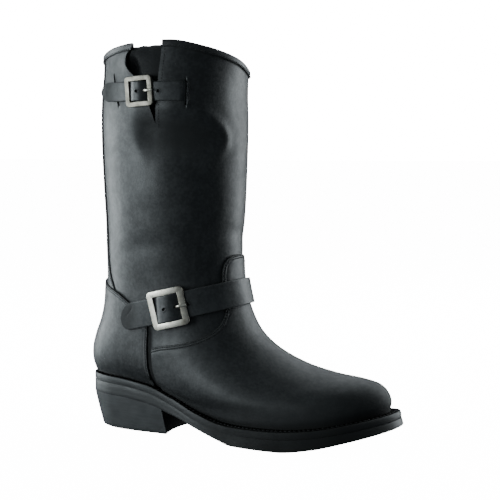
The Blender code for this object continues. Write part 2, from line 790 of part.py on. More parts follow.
def heel(home):
    """Heel block: sloped back and sides, hollowed breast."""
    top_plan = Plan(lambda x: 1.0 + 0.0 * x)
    foot_plan = Plan(heel_taper)
    share = np.concatenate([np.sin(np.linspace(0.0, 1.0, 13) * np.pi / 2.0) ** 1.6, np.ones(3)])
    width = np.concatenate([np.ones(13), [0.66, 0.33, 0.0]])
    loops = []
    for plan, breast, floor in ((top_plan, HEEL_BREAST_TOP, False), (foot_plan, HEEL_BREAST_FLOOR, True)):
        x = plan.back + (breast - plan.back) * share
        for outer in (True, False):
            y = plan.y_at(x, outer) * width
            y[0] = 0.0
            hollow = x - HEEL_BREAST_HOLLOW * (1.0 - width**2)
            z = np.zeros(len(x)) if floor else sole_bottom(hollow) - GAP
            loops.append(np.stack([hollow, y, z], 1))
    count = len(share)
    points = np.vstack(loops)
    ot, it, ob, ib = (np.arange(count) + k * count for k in range(4))
    faces = []
    for i in range(count - 1):
        j = i + 1
        faces += [(ot[i], ot[j], it[j], it[i]), (ob[i], ib[i], ib[j], ob[j])]
        faces += [(ot[i], ob[i], ob[j], ot[j]), (it[i], it[j], ib[j], ib[i])]
    return solid("heel", points, [tuple(int(k) for k in f) for f in faces], home, "heel_rubber")


def build():
    """Make every piece of the boot."""
    clear_scene()
    boot = collection("biker_boot")
    cutters = collection("biker_boot_cutters")
    upper(boot, cutters)
    vamp(boot, cutters)
    counter(boot, cutters)
    gusset(boot)
    collar_binding(boot)

    ankle = StrapLine(ANKLE)
    tip = np.array([0.0, 1.0, 3.0, 6.0, 9.5, 13.0])
    over = np.linspace(-12.0, 12.0, 13)
    before = np.linspace(18.0, ankle.zero - 16.0, 5)
    after = np.linspace(ankle.zero + 17.0, ankle.length, 25)
    ankle_runs = np.concatenate([tip, before, ankle.zero + over, after])
    strap("ankle_strap", ankle, ankle_runs, boot)
    slot_cut(boot.objects["ankle_strap"], ankle, ANKLE_BUCKLE, cutters, "ankle_slot")
    buckle("ankle_buckle", ankle, ANKLE_BUCKLE, boot, cutters)
    prong("ankle_prong", ankle, ANKLE_BUCKLE, boot, cutters)

    top = StrapLine(TOP)
    before = np.linspace(14.0, top.zero - 14.0, 5)
    after = np.linspace(top.zero + 14.0, top.length, 6)
    top_runs = np.concatenate([tip * 0.75, before, top.zero + over * 0.8, after])
    strap("top_strap", top, top_runs, boot)
    slot_cut(boot.objects["top_strap"], top, TOP_BUCKLE, cutters, "top_slot")
    buckle("top_buckle", top, TOP_BUCKLE, boot, cutters)
    prong("top_prong", top, TOP_BUCKLE, boot, cutters)

    board = Plan(lambda x: ledge(x) + WALL + 1.2)
    plate("insole", board, lambda x: (sole_top(x) + 0.4 + INSOLE, sole_top(x) + 0.4), boot, "insole_leather")
    plate("midsole", EDGE_PLAN, lambda x: (sole_top(x), sole_top(x) - MIDSOLE), boot, "midsole_rubber")
    plate("outsole", EDGE_PLAN, lambda x: (sole_top(x) - MIDSOLE - GAP, sole_bottom(x)), boot, "outsole_rubber")
    heel(boot)


build()
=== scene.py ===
"""Looks of a biker boot: leather, stitching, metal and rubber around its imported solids.

The boot is the right one. +X runs to the toe, +Y to the inner side, -Y to the outer side with the
buckles, +Z up. Shape tables are in millimetres and meshes in metres. An angle goes round the leg:
0 at the front, 90 at the outer side, -90 at the inner side, 180 at the back. A ring is a level of
the upper: 0 at the collar, the last one at the feather line where the sole begins.
"""
import logging
from dataclasses import dataclass, field
from enum import Enum
from functools import cache
from typing import Any, Callable, NamedTuple, Sequence

import bmesh
import bpy
import numpy as np
from mathutils import Matrix, Vector
from mathutils.kdtree import KDTree


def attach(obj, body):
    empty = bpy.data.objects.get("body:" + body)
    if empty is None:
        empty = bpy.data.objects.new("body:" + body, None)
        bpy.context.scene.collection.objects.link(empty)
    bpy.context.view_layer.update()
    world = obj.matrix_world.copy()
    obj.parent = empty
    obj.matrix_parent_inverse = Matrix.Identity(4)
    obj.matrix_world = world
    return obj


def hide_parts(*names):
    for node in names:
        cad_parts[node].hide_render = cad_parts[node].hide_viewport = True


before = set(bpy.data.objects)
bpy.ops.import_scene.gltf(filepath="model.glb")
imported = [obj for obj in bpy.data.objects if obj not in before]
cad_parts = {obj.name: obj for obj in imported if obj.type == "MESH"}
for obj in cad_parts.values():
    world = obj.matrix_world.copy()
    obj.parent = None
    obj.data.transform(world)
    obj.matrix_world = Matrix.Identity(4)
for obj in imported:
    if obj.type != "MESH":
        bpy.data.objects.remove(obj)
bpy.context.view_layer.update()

LOG = logging.getLogger("biker_boot")
Array = np.ndarray
Arrays = tuple[Array, Array]
Triple = tuple[float, float, float]
Colour = Triple
Pair = tuple[float, float]
Row = tuple[float, ...]
Line = Arrays  # Points in millimetres and the outward direction at each
Object = bpy.types.Object
Mesh = bpy.types.Mesh
Material = bpy.types.Material
MM = 0.001
BODY = "root"


class Edge(NamedTuple):
    """Point of the sole's plan."""

    x: float
    y: float


class Level(NamedTuple):
    """Heights of the sole at a place along the foot."""

    x: float
    top: float
    bottom: float


class Ring(NamedTuple):
    """One ring of the upper."""

    front_x: float
    front_z: float
    back_x: float
    back_z: float
    half_width: float
    foot_share: float
    sag_share: float
    collar_share: float


class Mark(NamedTuple):
    """Place on the upper by angle and height."""

    angle: float
    z: float


class Side(NamedTuple):
    """Place on the upper in the side view."""

    x: float
    z: float


class Fold(NamedTuple):
    """Soft ridge (height above 0) or trough (below 0) that runs along marks on the upper."""

    height: float
    width: float
    marks: tuple[Mark, ...]


class Dent(NamedTuple):
    """Soft oval hollow or swelling of the leather, with half sizes round the leg, up it and down it."""

    angle: float
    z: float
    round_leg: float
    above: float
    below: float
    height: float


class Groove(NamedTuple):
    """Groove (height below 0) or ridge beside an edge: its distance, half width and height."""

    at: float
    width: float
    height: float


def table(kind: type, *rows: Sequence[Any]) -> tuple[Any, ...]:
    """Rows of numbers as named tuples of one kind."""
    return tuple(kind(*row) for row in rows)


# Plan of the sole's edge, from the heel along the outer side
OUTLINE = table(
    Edge,
    (-39.6, 0), (-32.4, -22), (-11.8, -35), (19.6, -38.8), (60.8, -40.5), (103, -47.5),
    (142.3, -57), (178.6, -58.5), (215.9, -49.4), (245.3, -31), (262.6, -8.6), (266.8, 10.7),
    (262.4, 27.4), (245.3, 44.5), (217.8, 55.3), (184.5, 57), (147.2, 47), (107.9, 36),
    (63.8, 32.5), (19.6, 36.5), (-11.8, 34), (-32.4, 21.5),
)
# Side view of the sole: heel seat, waist, flat of the ball, toe spring
SOLE = table(
    Level,
    (-40, 51.9, 33.7), (0, 50.4, 32.7), (34, 45.8, 28.7), (62, 35.8, 20.1), (90, 24.4, 10.1),
    (116, 18.3, 2.6), (130, 17.6, 0), (150, 17.7, 0), (176, 18.3, 0), (206, 20.9, 3.5),
    (236, 26.2, 10.5), (268, 32.8, 18.6),
)
# Rings of the upper from the collar down to the feather line
RINGS = table(
    Ring,
    (117, 347, -26, 347, 62, 0, 0, 1),
    (116.5, 300, -26.2, 300, 62, 0, 0, 0.45),
    (113.5, 250, -25.6, 250, 60, 0, 0, 0.1),
    (111, 210, -24.5, 210, 57, 0, 0, 0),
    (109.3, 180, -23.5, 174, 54, 0, 0, 0),
    (110.5, 154, -23.8, 147, 51, 0.03, 0.05, 0),
    (114.5, 130, -25.6, 122, 49.5, 0.12, 0.2, 0),
    (120.5, 111.5, -29.6, 103, 49.5, 0.25, 0.4, 0),
    (131, 94.2, -35, 89, 51, 0.37, 0.58, 0),
    (150.3, 79.2, -38.6, 77.5, 53, 0.47, 0.73, 0),
    (177.5, 67.4, -39.6, 69, 55.5, 0.56, 0.83, 0),
    (206, 60.7, -39.1, 62.5, 57, 0.63, 0.90, 0),
    (232, 57.3, -37.9, 58, 58, 0.69, 0.95, 0),
    (248, 53, -36.7, 55, 57, 0.75, 0.98, 0),
    (255.6, 43.6, -35.7, 53.3, 55, 0.84, 1, 0),
    (256.2, 30.5, -34.8, 52.2, 52, 1, 1, 0),
)
# Rise of the collar round the leg
COLLAR = table(
    Mark,
    (-180, 0), (-140, -6), (-90, -9.5), (-29, -10.5), (11, 0.6), (41, 9.2), (69, 14.8), (94, 13.2),
    (151, 4.6), (180, 0),
)
# Edges of the slit at the top of the outer side, from its point up
SLIT_FRONT = table(Side, (56.3, 288.5), (58.9, 310), (62, 335), (64.8, 358), (65.6, 365))
SLIT_REAR = table(
    Side,
    (56.3, 288.5), (50.6, 309), (44, 323), (37, 332.5), (31.6, 338.5), (28.2, 345.5),
    (27.4, 351), (29.4, 355.5), (33, 359), (35, 366),
)
# Slots in the shaft at the top strap's ends, and the tack that holds the strap
STRAP_SLIT_ANGLE = 56.0
STRAP_TACK = table(Mark, (57.4, 329.5), (51.4, 320), (57.2, 313))
TIP_SLOT = table(Mark, (112.6, 306), (119.4, 334.5))
# Rear seam of the shaft, and the upper edges of vamp and counter
SHAFT_SEAM = table(
    Mark,
    (127, 130), (130, 136.4), (132.8, 140.9), (137.2, 148), (139.5, 155.5), (141.3, 163.2),
    (142, 200), (142.5, 254), (146, 350),
)
VAMP_EDGE = table(
    Mark,
    (0, 168.6), (5, 168.5), (10, 168), (14, 167), (17.3, 165.3), (20.3, 162.6),
    (22.5, 159), (24.2, 154), (25.3, 147), (25.6, 138), (25.4, 129), (26.2, 122.3),
    (27.8, 117.7), (30.5, 112.4), (34.8, 106.8), (40, 102.1), (45.5, 98.1), (52.8, 94.3),
    (61.3, 91), (70, 88.5), (80, 86.2), (91.5, 84.2), (96.4, 83.6),
)
COUNTER_EDGE = table(
    Mark,
    (180, 143), (164, 141.8), (150, 139.3), (132, 135.3), (119, 130.6), (107, 122.6),
    (100, 113.8), (92.6, 103.4),
)
COUNTER_FRONT = table(
    Side, (41.8, 103.4), (40.9, 92), (40.4, 78), (40.6, 64), (41.5, 52), (42.6, 43)
)
FOLDS = (
    Fold(2.0, 6.5, table(Mark, (55, 307), (44, 299), (33, 291), (23, 281), (22, 273), (28, 263), (36, 252))),
    Fold(1.2, 7.0, table(Mark, (99, 297), (101, 286), (98, 272), (90, 257))),
    Fold(-0.8, 8.0, table(Mark, (50, 182), (22, 190), (-10, 186), (-40, 180))),
    Fold(-0.7, 9.0, table(Mark, (118, 168), (96, 176), (70, 180))),
    Fold(-0.7, 10.0, table(Mark, (-60, 196), (-95, 190), (-130, 182))),
    Fold(0.6, 12.0, table(Mark, (110, 214), (84, 224), (56, 220))),
    Fold(-0.6, 8.0, table(Mark, (60, 96), (78, 94), (92, 96))),
    Fold(-0.8, 6.0, table(Mark, (-50, 272), (-85, 262), (-125, 268))),
)
DENTS = table(
    Dent,
    (58, 281, 36, 15, 27, -5.4),
    (87, 286, 15, 17, 22, -3.2),
    (66, 303, 13, 9, 8, 1.1),
    (5, 313, 29, 25, 25, -4.6),
    (142, 346, 36, 32, 32, -3.4),
    (-29, 215, 60, 75, 75, 2.4),
    (36, 228, 24, 45, 45, 1),
    (-70, 285, 40, 22, 22, -2),
    (150, 210, 30, 45, 45, -0.8),
)

# The collar's table repeated a turn before and a turn after itself
TURN = 360.0
COLLAR_TURNS = np.vstack([COLLAR[:-1] - np.array([TURN, 0.0]), COLLAR, COLLAR[1:] + np.array([TURN, 0.0])])

WALL = 2.2
GAP = 0.3
OVERLAY = 1.8
HEEL_LEDGE = 4.8
TOE_LEDGE = 10.6
MIDSOLE = 6.5
INSOLE_THICKNESS = 2.8
TUCK = 1.8
ARC = 1.08  # Millimetres round the shaft for one degree

# Row of stitches on the welt: its share of the ledge, where it begins and its lift
WELT_ROW_SHARE = 0.46
WELT_ROW_FROM = 46.0
WELT_ROW_LIFT = 0.2
FACES_UP = 0.8  # Least upward part of the normal of the welt's top faces

# Grooves and ridges: beside the rear seam, the strap's slit and slot, and the edge of an overlay
STITCH_ROWS = (1.6, 3.8)
STITCH_LIFT = 0.08
SEAM_STITCH = 2.4
SLIT_STITCH = 2.8
SEAM_GROOVES = table(Groove, (-0.7, 0.6, -0.55), (SEAM_STITCH, 0.6, -0.22))
LIP_GROOVES = table(Groove, (-0.9, 1.0, 1.5), (0.6, 0.5, -2.0))
SLOT_GROOVES = table(Groove, (1.6, 1.0, 0.5), (0.0, 0.75, -2.1))
ROW_GROOVES = table(Groove, *((row, 0.55, -0.36) for row in STITCH_ROWS))
EDGE_GROOVES = (*ROW_GROOVES, Groove(2.7, 0.6, 0.2), Groove(8.0, 3.0, 0.12))


def ease(t: Any) -> Array:
    """Smooth step from 0 to 1."""
    t = np.clip(t, 0.0, 1.0)
    return t * t * (3.0 - 2.0 * t)


def rise(x: Any, start: float, length: float) -> Array:
    """Smooth step that goes up from a start over a length."""
    return ease((np.asarray(x, float) - start) / length)


def band(z: Array, low: float, high: float, soft: float) -> Array:
    """1 between two heights and 0 beyond them, with soft ends."""
    return rise(z, low, soft) * (1.0 - rise(z, high, soft))


def bell(away: Array, width: float) -> Array:
    """Bell of height 1 round 0, by its half width."""
    return np.exp(-((away / width) ** 2))


def jump(x: Array, soft: float) -> Array:
    """Steep step from 0 to 1 round 0."""
    return 1.0 / (1.0 + np.exp(np.clip(-x / soft, -30.0, 30.0)))


def rounded(away: Array, radius: float = 0.8) -> Array:
    """Quarter round: 0 at an edge, 1 from a radius inwards."""
    return np.sqrt(np.clip(1.0 - (1.0 - np.clip(away / radius, 0.0, 1.0)) ** 2, 0.0, 1.0))


def relief_of(grooves: Sequence[Groove], away: Array) -> Array:
    """Height of a set of grooves at a distance from their edge."""
    return sum(groove.height * bell(away - groove.at, groove.width) for groove in grooves)


def table_curve(xs: Sequence[float], ys: Sequence[float], x: Any) -> Array:
    """Smooth curve through a table that never overshoots its rows.

    Args:
        xs: Rising places of the rows.
        ys: Values of the rows.
        x: Places to read.

    Returns:
        Values at x.
    """
    xs, ys = np.asarray(xs, float), np.asarray(ys, float)
    x = np.clip(np.asarray(x, float), xs[0], xs[-1])
    slant = np.diff(ys) / np.diff(xs)
    before, after = slant[:-1], slant[1:]
    same = before * after > 0.0
    slope = np.empty(len(xs))
    slope[0], slope[-1] = slant[0], slant[-1]
    slope[1:-1] = np.where(same, 2.0 * before * after / np.where(same, before + after, 1.0), 0.0)
    i = np.clip(np.searchsorted(xs, x) - 1, 0, len(xs) - 2)
    h = xs[i + 1] - xs[i]
    t = (x - xs[i]) / h
    start = (2 * t**3 - 3 * t**2 + 1) * ys[i] + (t**3 - 2 * t**2 + t) * h * slope[i]
    return start + (3 * t**2 - 2 * t**3) * ys[i + 1] + (t**3 - t**2) * h * slope[i + 1]


def read(rows: Sequence[Any], key: str, value: str, at: Any) -> Array:
    """Curve through one column of a table, read by another one."""
    return table_curve([getattr(r, key) for r in rows], [getattr(r, value) for r in rows], at)


def through_rows(rows: Any, v: Any) -> Array:
    """Spline through the rows of a table.

    Args:
        rows: Rows of numbers.
        v: Places to read, 0 at the first row and 1 at the next.

    Returns:
        Rows at v.
    """
    rows, v = np.asarray(rows, float), np.asarray(v, float)
    i = np.clip(np.floor(v).astype(int), 0, len(rows) - 2)
    t = (v - i)[..., None]
    ext = np.vstack([2 * rows[0] - rows[1], rows, 2 * rows[-1] - rows[-2]])
    a, b, c, d = ext[i], ext[i + 1], ext[i + 2], ext[i + 3]
    return 0.5 * (2 * b + (c - a) * t + (2 * a - 5 * b + 4 * c - d) * t**2 + (3 * b - a - 3 * c + d) * t**3)


def spread(rows: Sequence[Any], count: int) -> Array:
    """A number of rows, evenly spread over the spline through a table."""
    return through_rows(rows, np.linspace(0.0, len(rows) - 1.0, count))


def closed_curve(points: Sequence[Edge], steps: int) -> Array:
    """Even-handed closed spline through plan points.

    Args:
        points: Corners of the plan.
        steps: Number of steps between two of them.

    Returns:
        Points of the curve.
    """
    pts = np.asarray(points, float)
    out = []
    for i in range(len(pts)):
        p = [pts[(i + k - 1) % len(pts)] for k in range(4)]
        knot = [0.0]
        for k in range(3):
            knot.append(knot[-1] + np.linalg.norm(p[k + 1] - p[k]) ** 0.5)
        for t in np.linspace(knot[1], knot[2], steps, endpoint=False):
            q = p
            for lows, highs in (((0, 1, 2), (1, 2, 3)), ((0, 1), (2, 3)), ((1,), (2,))):
                q = [
                    (q[k] * (knot[hi] - t) + q[k + 1] * (t - knot[lo])) / (knot[hi] - knot[lo])
                    for k, (lo, hi) in enumerate(zip(lows, highs))
                ]
            out.append(q[0])
    return np.array(out)


def unit(vectors: Array) -> Array:
    """Vectors at length one."""
    return vectors / np.maximum(np.linalg.norm(vectors, axis=-1), 1e-12)[..., None]


def along(points: Array) -> Array:
    """Running length along a line of points."""
    return np.r_[0.0, np.cumsum(np.linalg.norm(np.diff(points, axis=0), axis=1))]


def inward(loop: Array) -> Array:
    """Inward directions of a closed plan curve that runs along the outer side first."""
    run = unit(np.roll(loop, -1, 0) - np.roll(loop, 1, 0))
    return np.stack([-run[:, 1], run[:, 0]], 1)


def turn_at(x: Any, back: Any, front: Any) -> Array:
    """Angle in radians of a place along a foot that goes from a back to a front."""
    return np.arccos(np.clip(2.0 * (np.asarray(x, float) - back) / (front - back) - 1.0, -1.0, 1.0))


class Plan:
    """A closed plan curve read by the angle of its place between toe and heel."""

    def __init__(self, amount: Callable[[Array], Any]) -> None:
        """Set the outline in.

        Args:
            amount: Distance to set in at places along the foot.
        """
        base = closed_curve(OUTLINE, 24)
        pts = base + inward(base) * np.broadcast_to(amount(base[:, 0]), len(base))[:, None]
        self.back, self.front = pts[:, 0].min(), pts[:, 0].max()
        toe = int(pts[:, 0].argmax())
        self.outer = self.by_angle(pts[: toe + 1][::-1])
        self.inner = self.by_angle(np.vstack([pts[toe:], pts[:1]]))

    def by_angle(self, side: Array) -> Arrays:
        """Table of angle and y for one side, from the toe to the heel."""
        return np.maximum.accumulate(turn_at(side[:, 0], self.back, self.front)), side[:, 1]

    def x(self, angle: Array) -> Array:
        """Place along the foot."""
        return self.back + (self.front - self.back) * (1.0 + np.cos(angle)) / 2.0

    def y(self, angle: Array) -> Array:
        """Place across the foot."""
        size = np.abs(angle)
        return np.where(angle >= 0.0, np.interp(size, *self.outer), np.interp(size, *self.inner))

    def sides(self, x: Any) -> Arrays:
        """Places across the foot of the outer and the inner side at a given x."""
        turn = turn_at(x, self.back, self.front)
        return np.interp(turn, *self.outer), np.interp(turn, *self.inner)


def ledge(x: Any) -> Array:
    """How far the sole stands out from the upper's feather line."""
    return HEEL_LEDGE + (TOE_LEDGE - HEEL_LEDGE) * rise(x, 40.0, 90.0)


def sole_top(x: Any) -> Array:
    """Height of the welt's top face."""
    return read(SOLE, "x", "top", x)


def sole_bottom(x: Any) -> Array:
    """Height of the outsole's tread."""
    return read(SOLE, "x", "bottom", x)


def paired(v: Any, angle: Any) -> list[Array]:
    """Rings and angles as arrays of one shape."""
    return np.broadcast_arrays(np.asarray(v, float), np.asarray(angle, float))


def ring_rows(v: Any) -> Ring:
    """Ring values at any places between the table's rings."""
    return Ring(*np.moveaxis(through_rows(RINGS, v), -1, 0))


class Upper3D:
    """The form of the upper, with the slump and folds of its leather."""

    def __init__(self) -> None:
        """Work out the plans and the places of the folds."""
        self.feather = Plan(ledge)
        self.last = len(RINGS) - 1.0
        self.folds: list[tuple[Fold, Array, Array]] = []
        self.dents: list[tuple[Dent, Array, Array, Array]] = []
        for fold in FOLDS:
            path = self.at_marks(spread(fold.marks, 36))
            taper = np.sin(np.linspace(0.06, 0.94, len(path)) * np.pi) ** 0.6
            self.folds.append((fold, path, taper))
        for dent in DENTS:
            angle = np.radians([dent.angle])
            v = self.ring_at_height(angle, np.array([dent.z]))
            out, up = self.frame(v, angle)
            self.dents.append((dent, self.point(v, angle)[0], out[0], up[0]))

    def point(self, v: Any, angle: Any) -> Array:
        """Point of the plain outer face.

        Args:
            v: Rings.
            angle: Angles in radians.

        Returns:
            Points in millimetres.
        """
        v, angle = paired(v, angle)
        angle = (angle + np.pi) % (2.0 * np.pi) - np.pi
        ring = ring_rows(v)
        share = (1.0 + np.cos(angle)) / 2.0
        x = ring.back_x + (ring.front_x - ring.back_x) * share
        side = ring.half_width * np.sin(angle)
        y = ring.foot_share * self.feather.y(angle) - (1.0 - ring.foot_share) * side
        heel, toe = sole_top(self.feather.back), sole_top(self.feather.front)
        sag = sole_top(self.feather.x(angle)) - heel - (toe - heel) * share
        z = ring.back_z + (ring.front_z - ring.back_z) * share
        collar = table_curve(*COLLAR_TURNS.T, np.degrees(angle))
        return np.stack([x, y, z + ring.sag_share * sag + ring.collar_share * collar], -1)

    def level(self, v: Array, degrees: Any) -> Array:
        """Heights of rings at an angle in degrees."""
        return self.point(v, np.radians(degrees))[..., 2]

    def frame(self, v: Any, angle: Any, step: float = 0.004) -> Arrays:
        """Directions of the plain face.

        Args:
            v: Rings.
            angle: Angles in radians.
            step: Step over which the face is measured.

        Returns:
            Outward normals and upward directions.
        """
        v, angle = paired(v, angle)
        round_leg = self.point(v, angle + step) - self.point(v, angle - step)
        low, high = np.clip(v - step, 0.0, self.last), np.clip(v + step, 0.0, self.last)
        down = self.point(high, angle) - self.point(low, angle)
        return unit(np.cross(round_leg, down)), -unit(down)

    def ring_where(self, angle: Array, level: Callable[[Array], Array]) -> Array:
        """Ring at which a level of the face falls to zero, going down.

        Args:
            angle: Angles in radians.
            level: Level of points.

        Returns:
            Rings.
        """
        low, high = np.zeros(np.shape(angle)), np.full(np.shape(angle), self.last)
        for _ in range(32):
            mid = (low + high) / 2.0
            above = level(self.point(mid, angle)) > 0.0
            low, high = np.where(above, mid, low), np.where(above, high, mid)
        return (low + high) / 2.0

    def ring_at_height(self, angle: Array, z: Any) -> Array:
        """Ring that passes a height at an angle."""
        return self.ring_where(angle, lambda p: p[..., 2] - z)

    def at_marks(self, marks: Array) -> Array:
        """Points of the plain face at rows of angle in degrees and height."""
        angle = np.radians(marks[:, 0])
        return self.point(self.ring_at_height(angle, marks[:, 1]), angle)

    def angle_at_x(self, v: Any, x: Any) -> Array:
        """Angle in degrees, on the outer side, at which ring v has a place along the foot."""
        ring = ring_rows(v)
        return np.degrees(turn_at(x, ring.back_x, ring.front_x))

    def relief(self, points: Array) -> Array:
        """Height of faint ripples, which die out towards the sole, of folds and of dents.

        Args:
            points: Points of the plain face.

        Returns:
            Heights.
        """
        flat = points.reshape(-1, 3)
        x, y, z = flat.T
        total = 0.28 * np.sin(z / 17.0 + 1.3 * np.sin(x / 31.0)) * np.sin(x / 26.0 + 0.7)
        total += 0.16 * np.sin(z / 7.3 + x / 19.0) * np.sin(y / 15.0 + x / 23.0)
        total *= rise(z, 60.0, 60.0)
        for fold, path, taper in self.folds:
            reach = 3.0 * fold.width
            close = np.all((flat > path.min(0) - reach) & (flat < path.max(0) + reach), axis=1)
            gaps = np.linalg.norm(flat[close][:, None] - path[None], axis=2)
            near = gaps.argmin(1)
            total[close] += fold.height * taper[near] * bell(gaps[np.arange(len(near)), near], fold.width)
        for dent, centre, out, up in self.dents:
            away = flat - centre
            climb, deep = away @ up, away @ out
            side = (away @ np.cross(up, out)) / dent.round_leg
            oval = side**2 + (climb / np.where(climb > 0.0, dent.above, dent.below)) ** 2
            total += dent.height * np.exp(-oval - (np.minimum(deep + 25.0, 0.0) / 10.0) ** 2)
        return total.reshape(points.shape[:-1])

    def skin(self, v: Any, angle: Any, lift: Any = 0.0, share: float = 1.0) -> Array:
        """Point at a height over the leather.

        Args:
            v: Rings.
            angle: Angles in radians.
            lift: Heights over the outer face.
            share: How much of the folds to follow.

        Returns:
            Points in millimetres.
        """
        v, angle = paired(v, angle)
        out, _ = self.frame(v, angle)
        base = self.point(v, angle)
        tuck = TUCK * rise(v, self.last - 0.9, 0.9) ** 2
        height = np.broadcast_to(lift, v.shape) + share * self.relief(base) - tuck
        return base + out * height[..., None]


FORM = Upper3D()


def counter_table() -> tuple[list[float], list[float]]:
    """Front edge of the counter, found from its side view.

    Returns:
        Rings and angles in degrees.
    """
    found = []
    angle = np.radians(np.linspace(84.0, 130.0, 240))
    for x, z in COUNTER_FRONT:
        ring = FORM.ring_at_height(angle, z)
        spot = np.array([np.interp(-x, -FORM.point(ring, angle)[:, 0], angle)])
        found.append((float(FORM.ring_at_height(spot, z)[0]), float(np.degrees(spot)[0])))
    rings, degrees = (list(column) for column in zip(*sorted(found)))
    slope = (degrees[-1] - degrees[-2]) / (rings[-1] - rings[-2])
    return [*rings, FORM.last], [*degrees, degrees[-1] + (FORM.last - rings[-1]) * slope]


COUNTER_RINGS, COUNTER_ANGLES = counter_table()


def counter_front(v: Any) -> Array:
    """Angle in degrees of the counter's front edge on ring v."""
    return table_curve(COUNTER_RINGS, COUNTER_ANGLES, v)


FRONT_AT_WELT = float(counter_front(FORM.last - 0.3))


class Wire:
    """A node's output that takes part in Python arithmetic."""

    def __init__(self, tree: "Tree", socket: bpy.types.NodeSocket | None) -> None:
        """Hold a socket of a tree."""
        self.tree, self.socket = tree, socket

    def _math(self, operation: str, first: Any, second: Any) -> "Wire":
        """Math node on two values."""
        return self.tree.node("ShaderNodeMath", {"operation": operation}, {0: first, 1: second})

    def __add__(self, other: Any) -> "Wire":
        """Sum."""
        return self._math("ADD", self, other)

    __radd__ = __add__

    def __sub__(self, other: Any) -> "Wire":
        """Difference."""
        return self._math("SUBTRACT", self, other)

    def __rsub__(self, other: Any) -> "Wire":
        """Difference from a number."""
        return self._math("SUBTRACT", other, self)

    def __mul__(self, other: Any) -> "Wire":
        """Product."""
        return self._math("MULTIPLY", self, other)

    __rmul__ = __mul__


class Tree:
    """A node tree that is written as Python calls."""

    def __init__(self, tree: bpy.types.NodeTree) -> None:
        """Start with an empty tree."""
        self.tree = tree
        tree.nodes.clear()

    def node(self, kind: str, settings: dict | None = None, inputs: dict | None = None, output: Any = 0) -> Wire:
        """Add a node.

        Args:
            kind: The node's type.
            settings: Properties, set before the sockets.
            inputs: Values or wires by socket name or number.
            output: Name or number of the output to hand back.

        Returns:
            The output as a wire.
        """
        made = self.tree.nodes.new(kind)
        for name, value in (settings or {}).items():
            setattr(made, name, value)
        for key, value in (inputs or {}).items():
            socket = made.inputs[key]
            if isinstance(value, Wire):
                self.tree.links.new(value.socket, socket)
            elif value is not None:
                socket.default_value = value
        return Wire(self, made.outputs[output] if made.outputs else None)


def opaque(colour: Any) -> Any:
    """A colour with its fourth value; anything else as it is."""
    return (*colour, 1.0) if isinstance(colour, tuple) else colour


class Shader(Tree):
    """Material tree round one Principled shader."""

    def __init__(self, name: str) -> None:
        """Make the material.

        Args:
            name: Name of the material.
        """
        self.material = bpy.data.materials.new(name)
        self.material.use_nodes = True
        super().__init__(self.material.node_tree)
        self.place = self.node("ShaderNodeTexCoord", output="Object")

    def noise(self, size: float, detail: float = 2.0, stretch: Triple = (1.0, 1.0, 1.0), lean: float = 0.0) -> Wire:
        """Noise value with features of about a size in millimetres.

        Args:
            size: Size of the features.
            detail: Number of finer layers.
            stretch: How much finer the features are along each axis.
            lean: Turn of the features in the side view, in degrees.

        Returns:
            The value.
        """
        place = self.place
        if lean:
            turned = {"Vector": place, "Rotation": (0.0, np.radians(lean), 0.0)}
            place = self.node("ShaderNodeMapping", {"vector_type": "TEXTURE"}, turned)
        place = self.node("ShaderNodeMapping", None, {"Vector": place, "Scale": stretch})
        inputs = {"Vector": place, "Scale": 1.0 / (size * MM), "Detail": detail, "Roughness": 0.55}
        return self.node("ShaderNodeTexNoise", None, inputs, "Fac")

    def cells(self, size: float) -> Wire:
        """Distance value of cells of about a size in millimetres."""
        inputs = {"Vector": self.place, "Scale": 1.0 / (size * MM)}
        return self.node("ShaderNodeTexVoronoi", {"feature": "F1"}, inputs, "Distance")

    def between(self, value: Wire, low: float, high: float, start: float = 0.0, end: float = 1.0) -> Wire:
        """Value eased from one range to another."""
        inputs = {"Value": value, "From Min": low, "From Max": high, "To Min": start, "To Max": end}
        return self.node("ShaderNodeMapRange", {"interpolation_type": "SMOOTHSTEP"}, inputs)

    def blend(self, share: Wire, first: Any, second: Any) -> Wire:
        """Colour between two colours."""
        inputs = {0: share, 6: opaque(first), 7: opaque(second)}
        return self.node("ShaderNodeMix", {"data_type": "RGBA"}, inputs, 2)

    def attribute(self, name: str) -> Wire:
        """Value stored on the piece's points."""
        return self.node("ShaderNodeAttribute", {"attribute_name": name}, None, "Fac")

    def bump(self, height: Wire, depth: float, strength: float, normal: Wire | None = None) -> Wire:
        """Normal bent by a height, with its depth in millimetres."""
        inputs = {"Height": height, "Distance": depth * MM, "Strength": strength, "Normal": normal}
        return self.node("ShaderNodeBump", None, inputs)

    def principled(self, **sockets: Any) -> Material:
        """Close the material with its Principled shader.

        Args:
            sockets: Values or wires by socket name, with _ for a space.

        Returns:
            The material.
        """
        inputs = {name.replace("_", " "): value for name, value in sockets.items()}
        shader = self.node("ShaderNodeBsdfPrincipled", None, inputs)
        self.node("ShaderNodeOutputMaterial", None, {"Surface": shader})
        return self.material


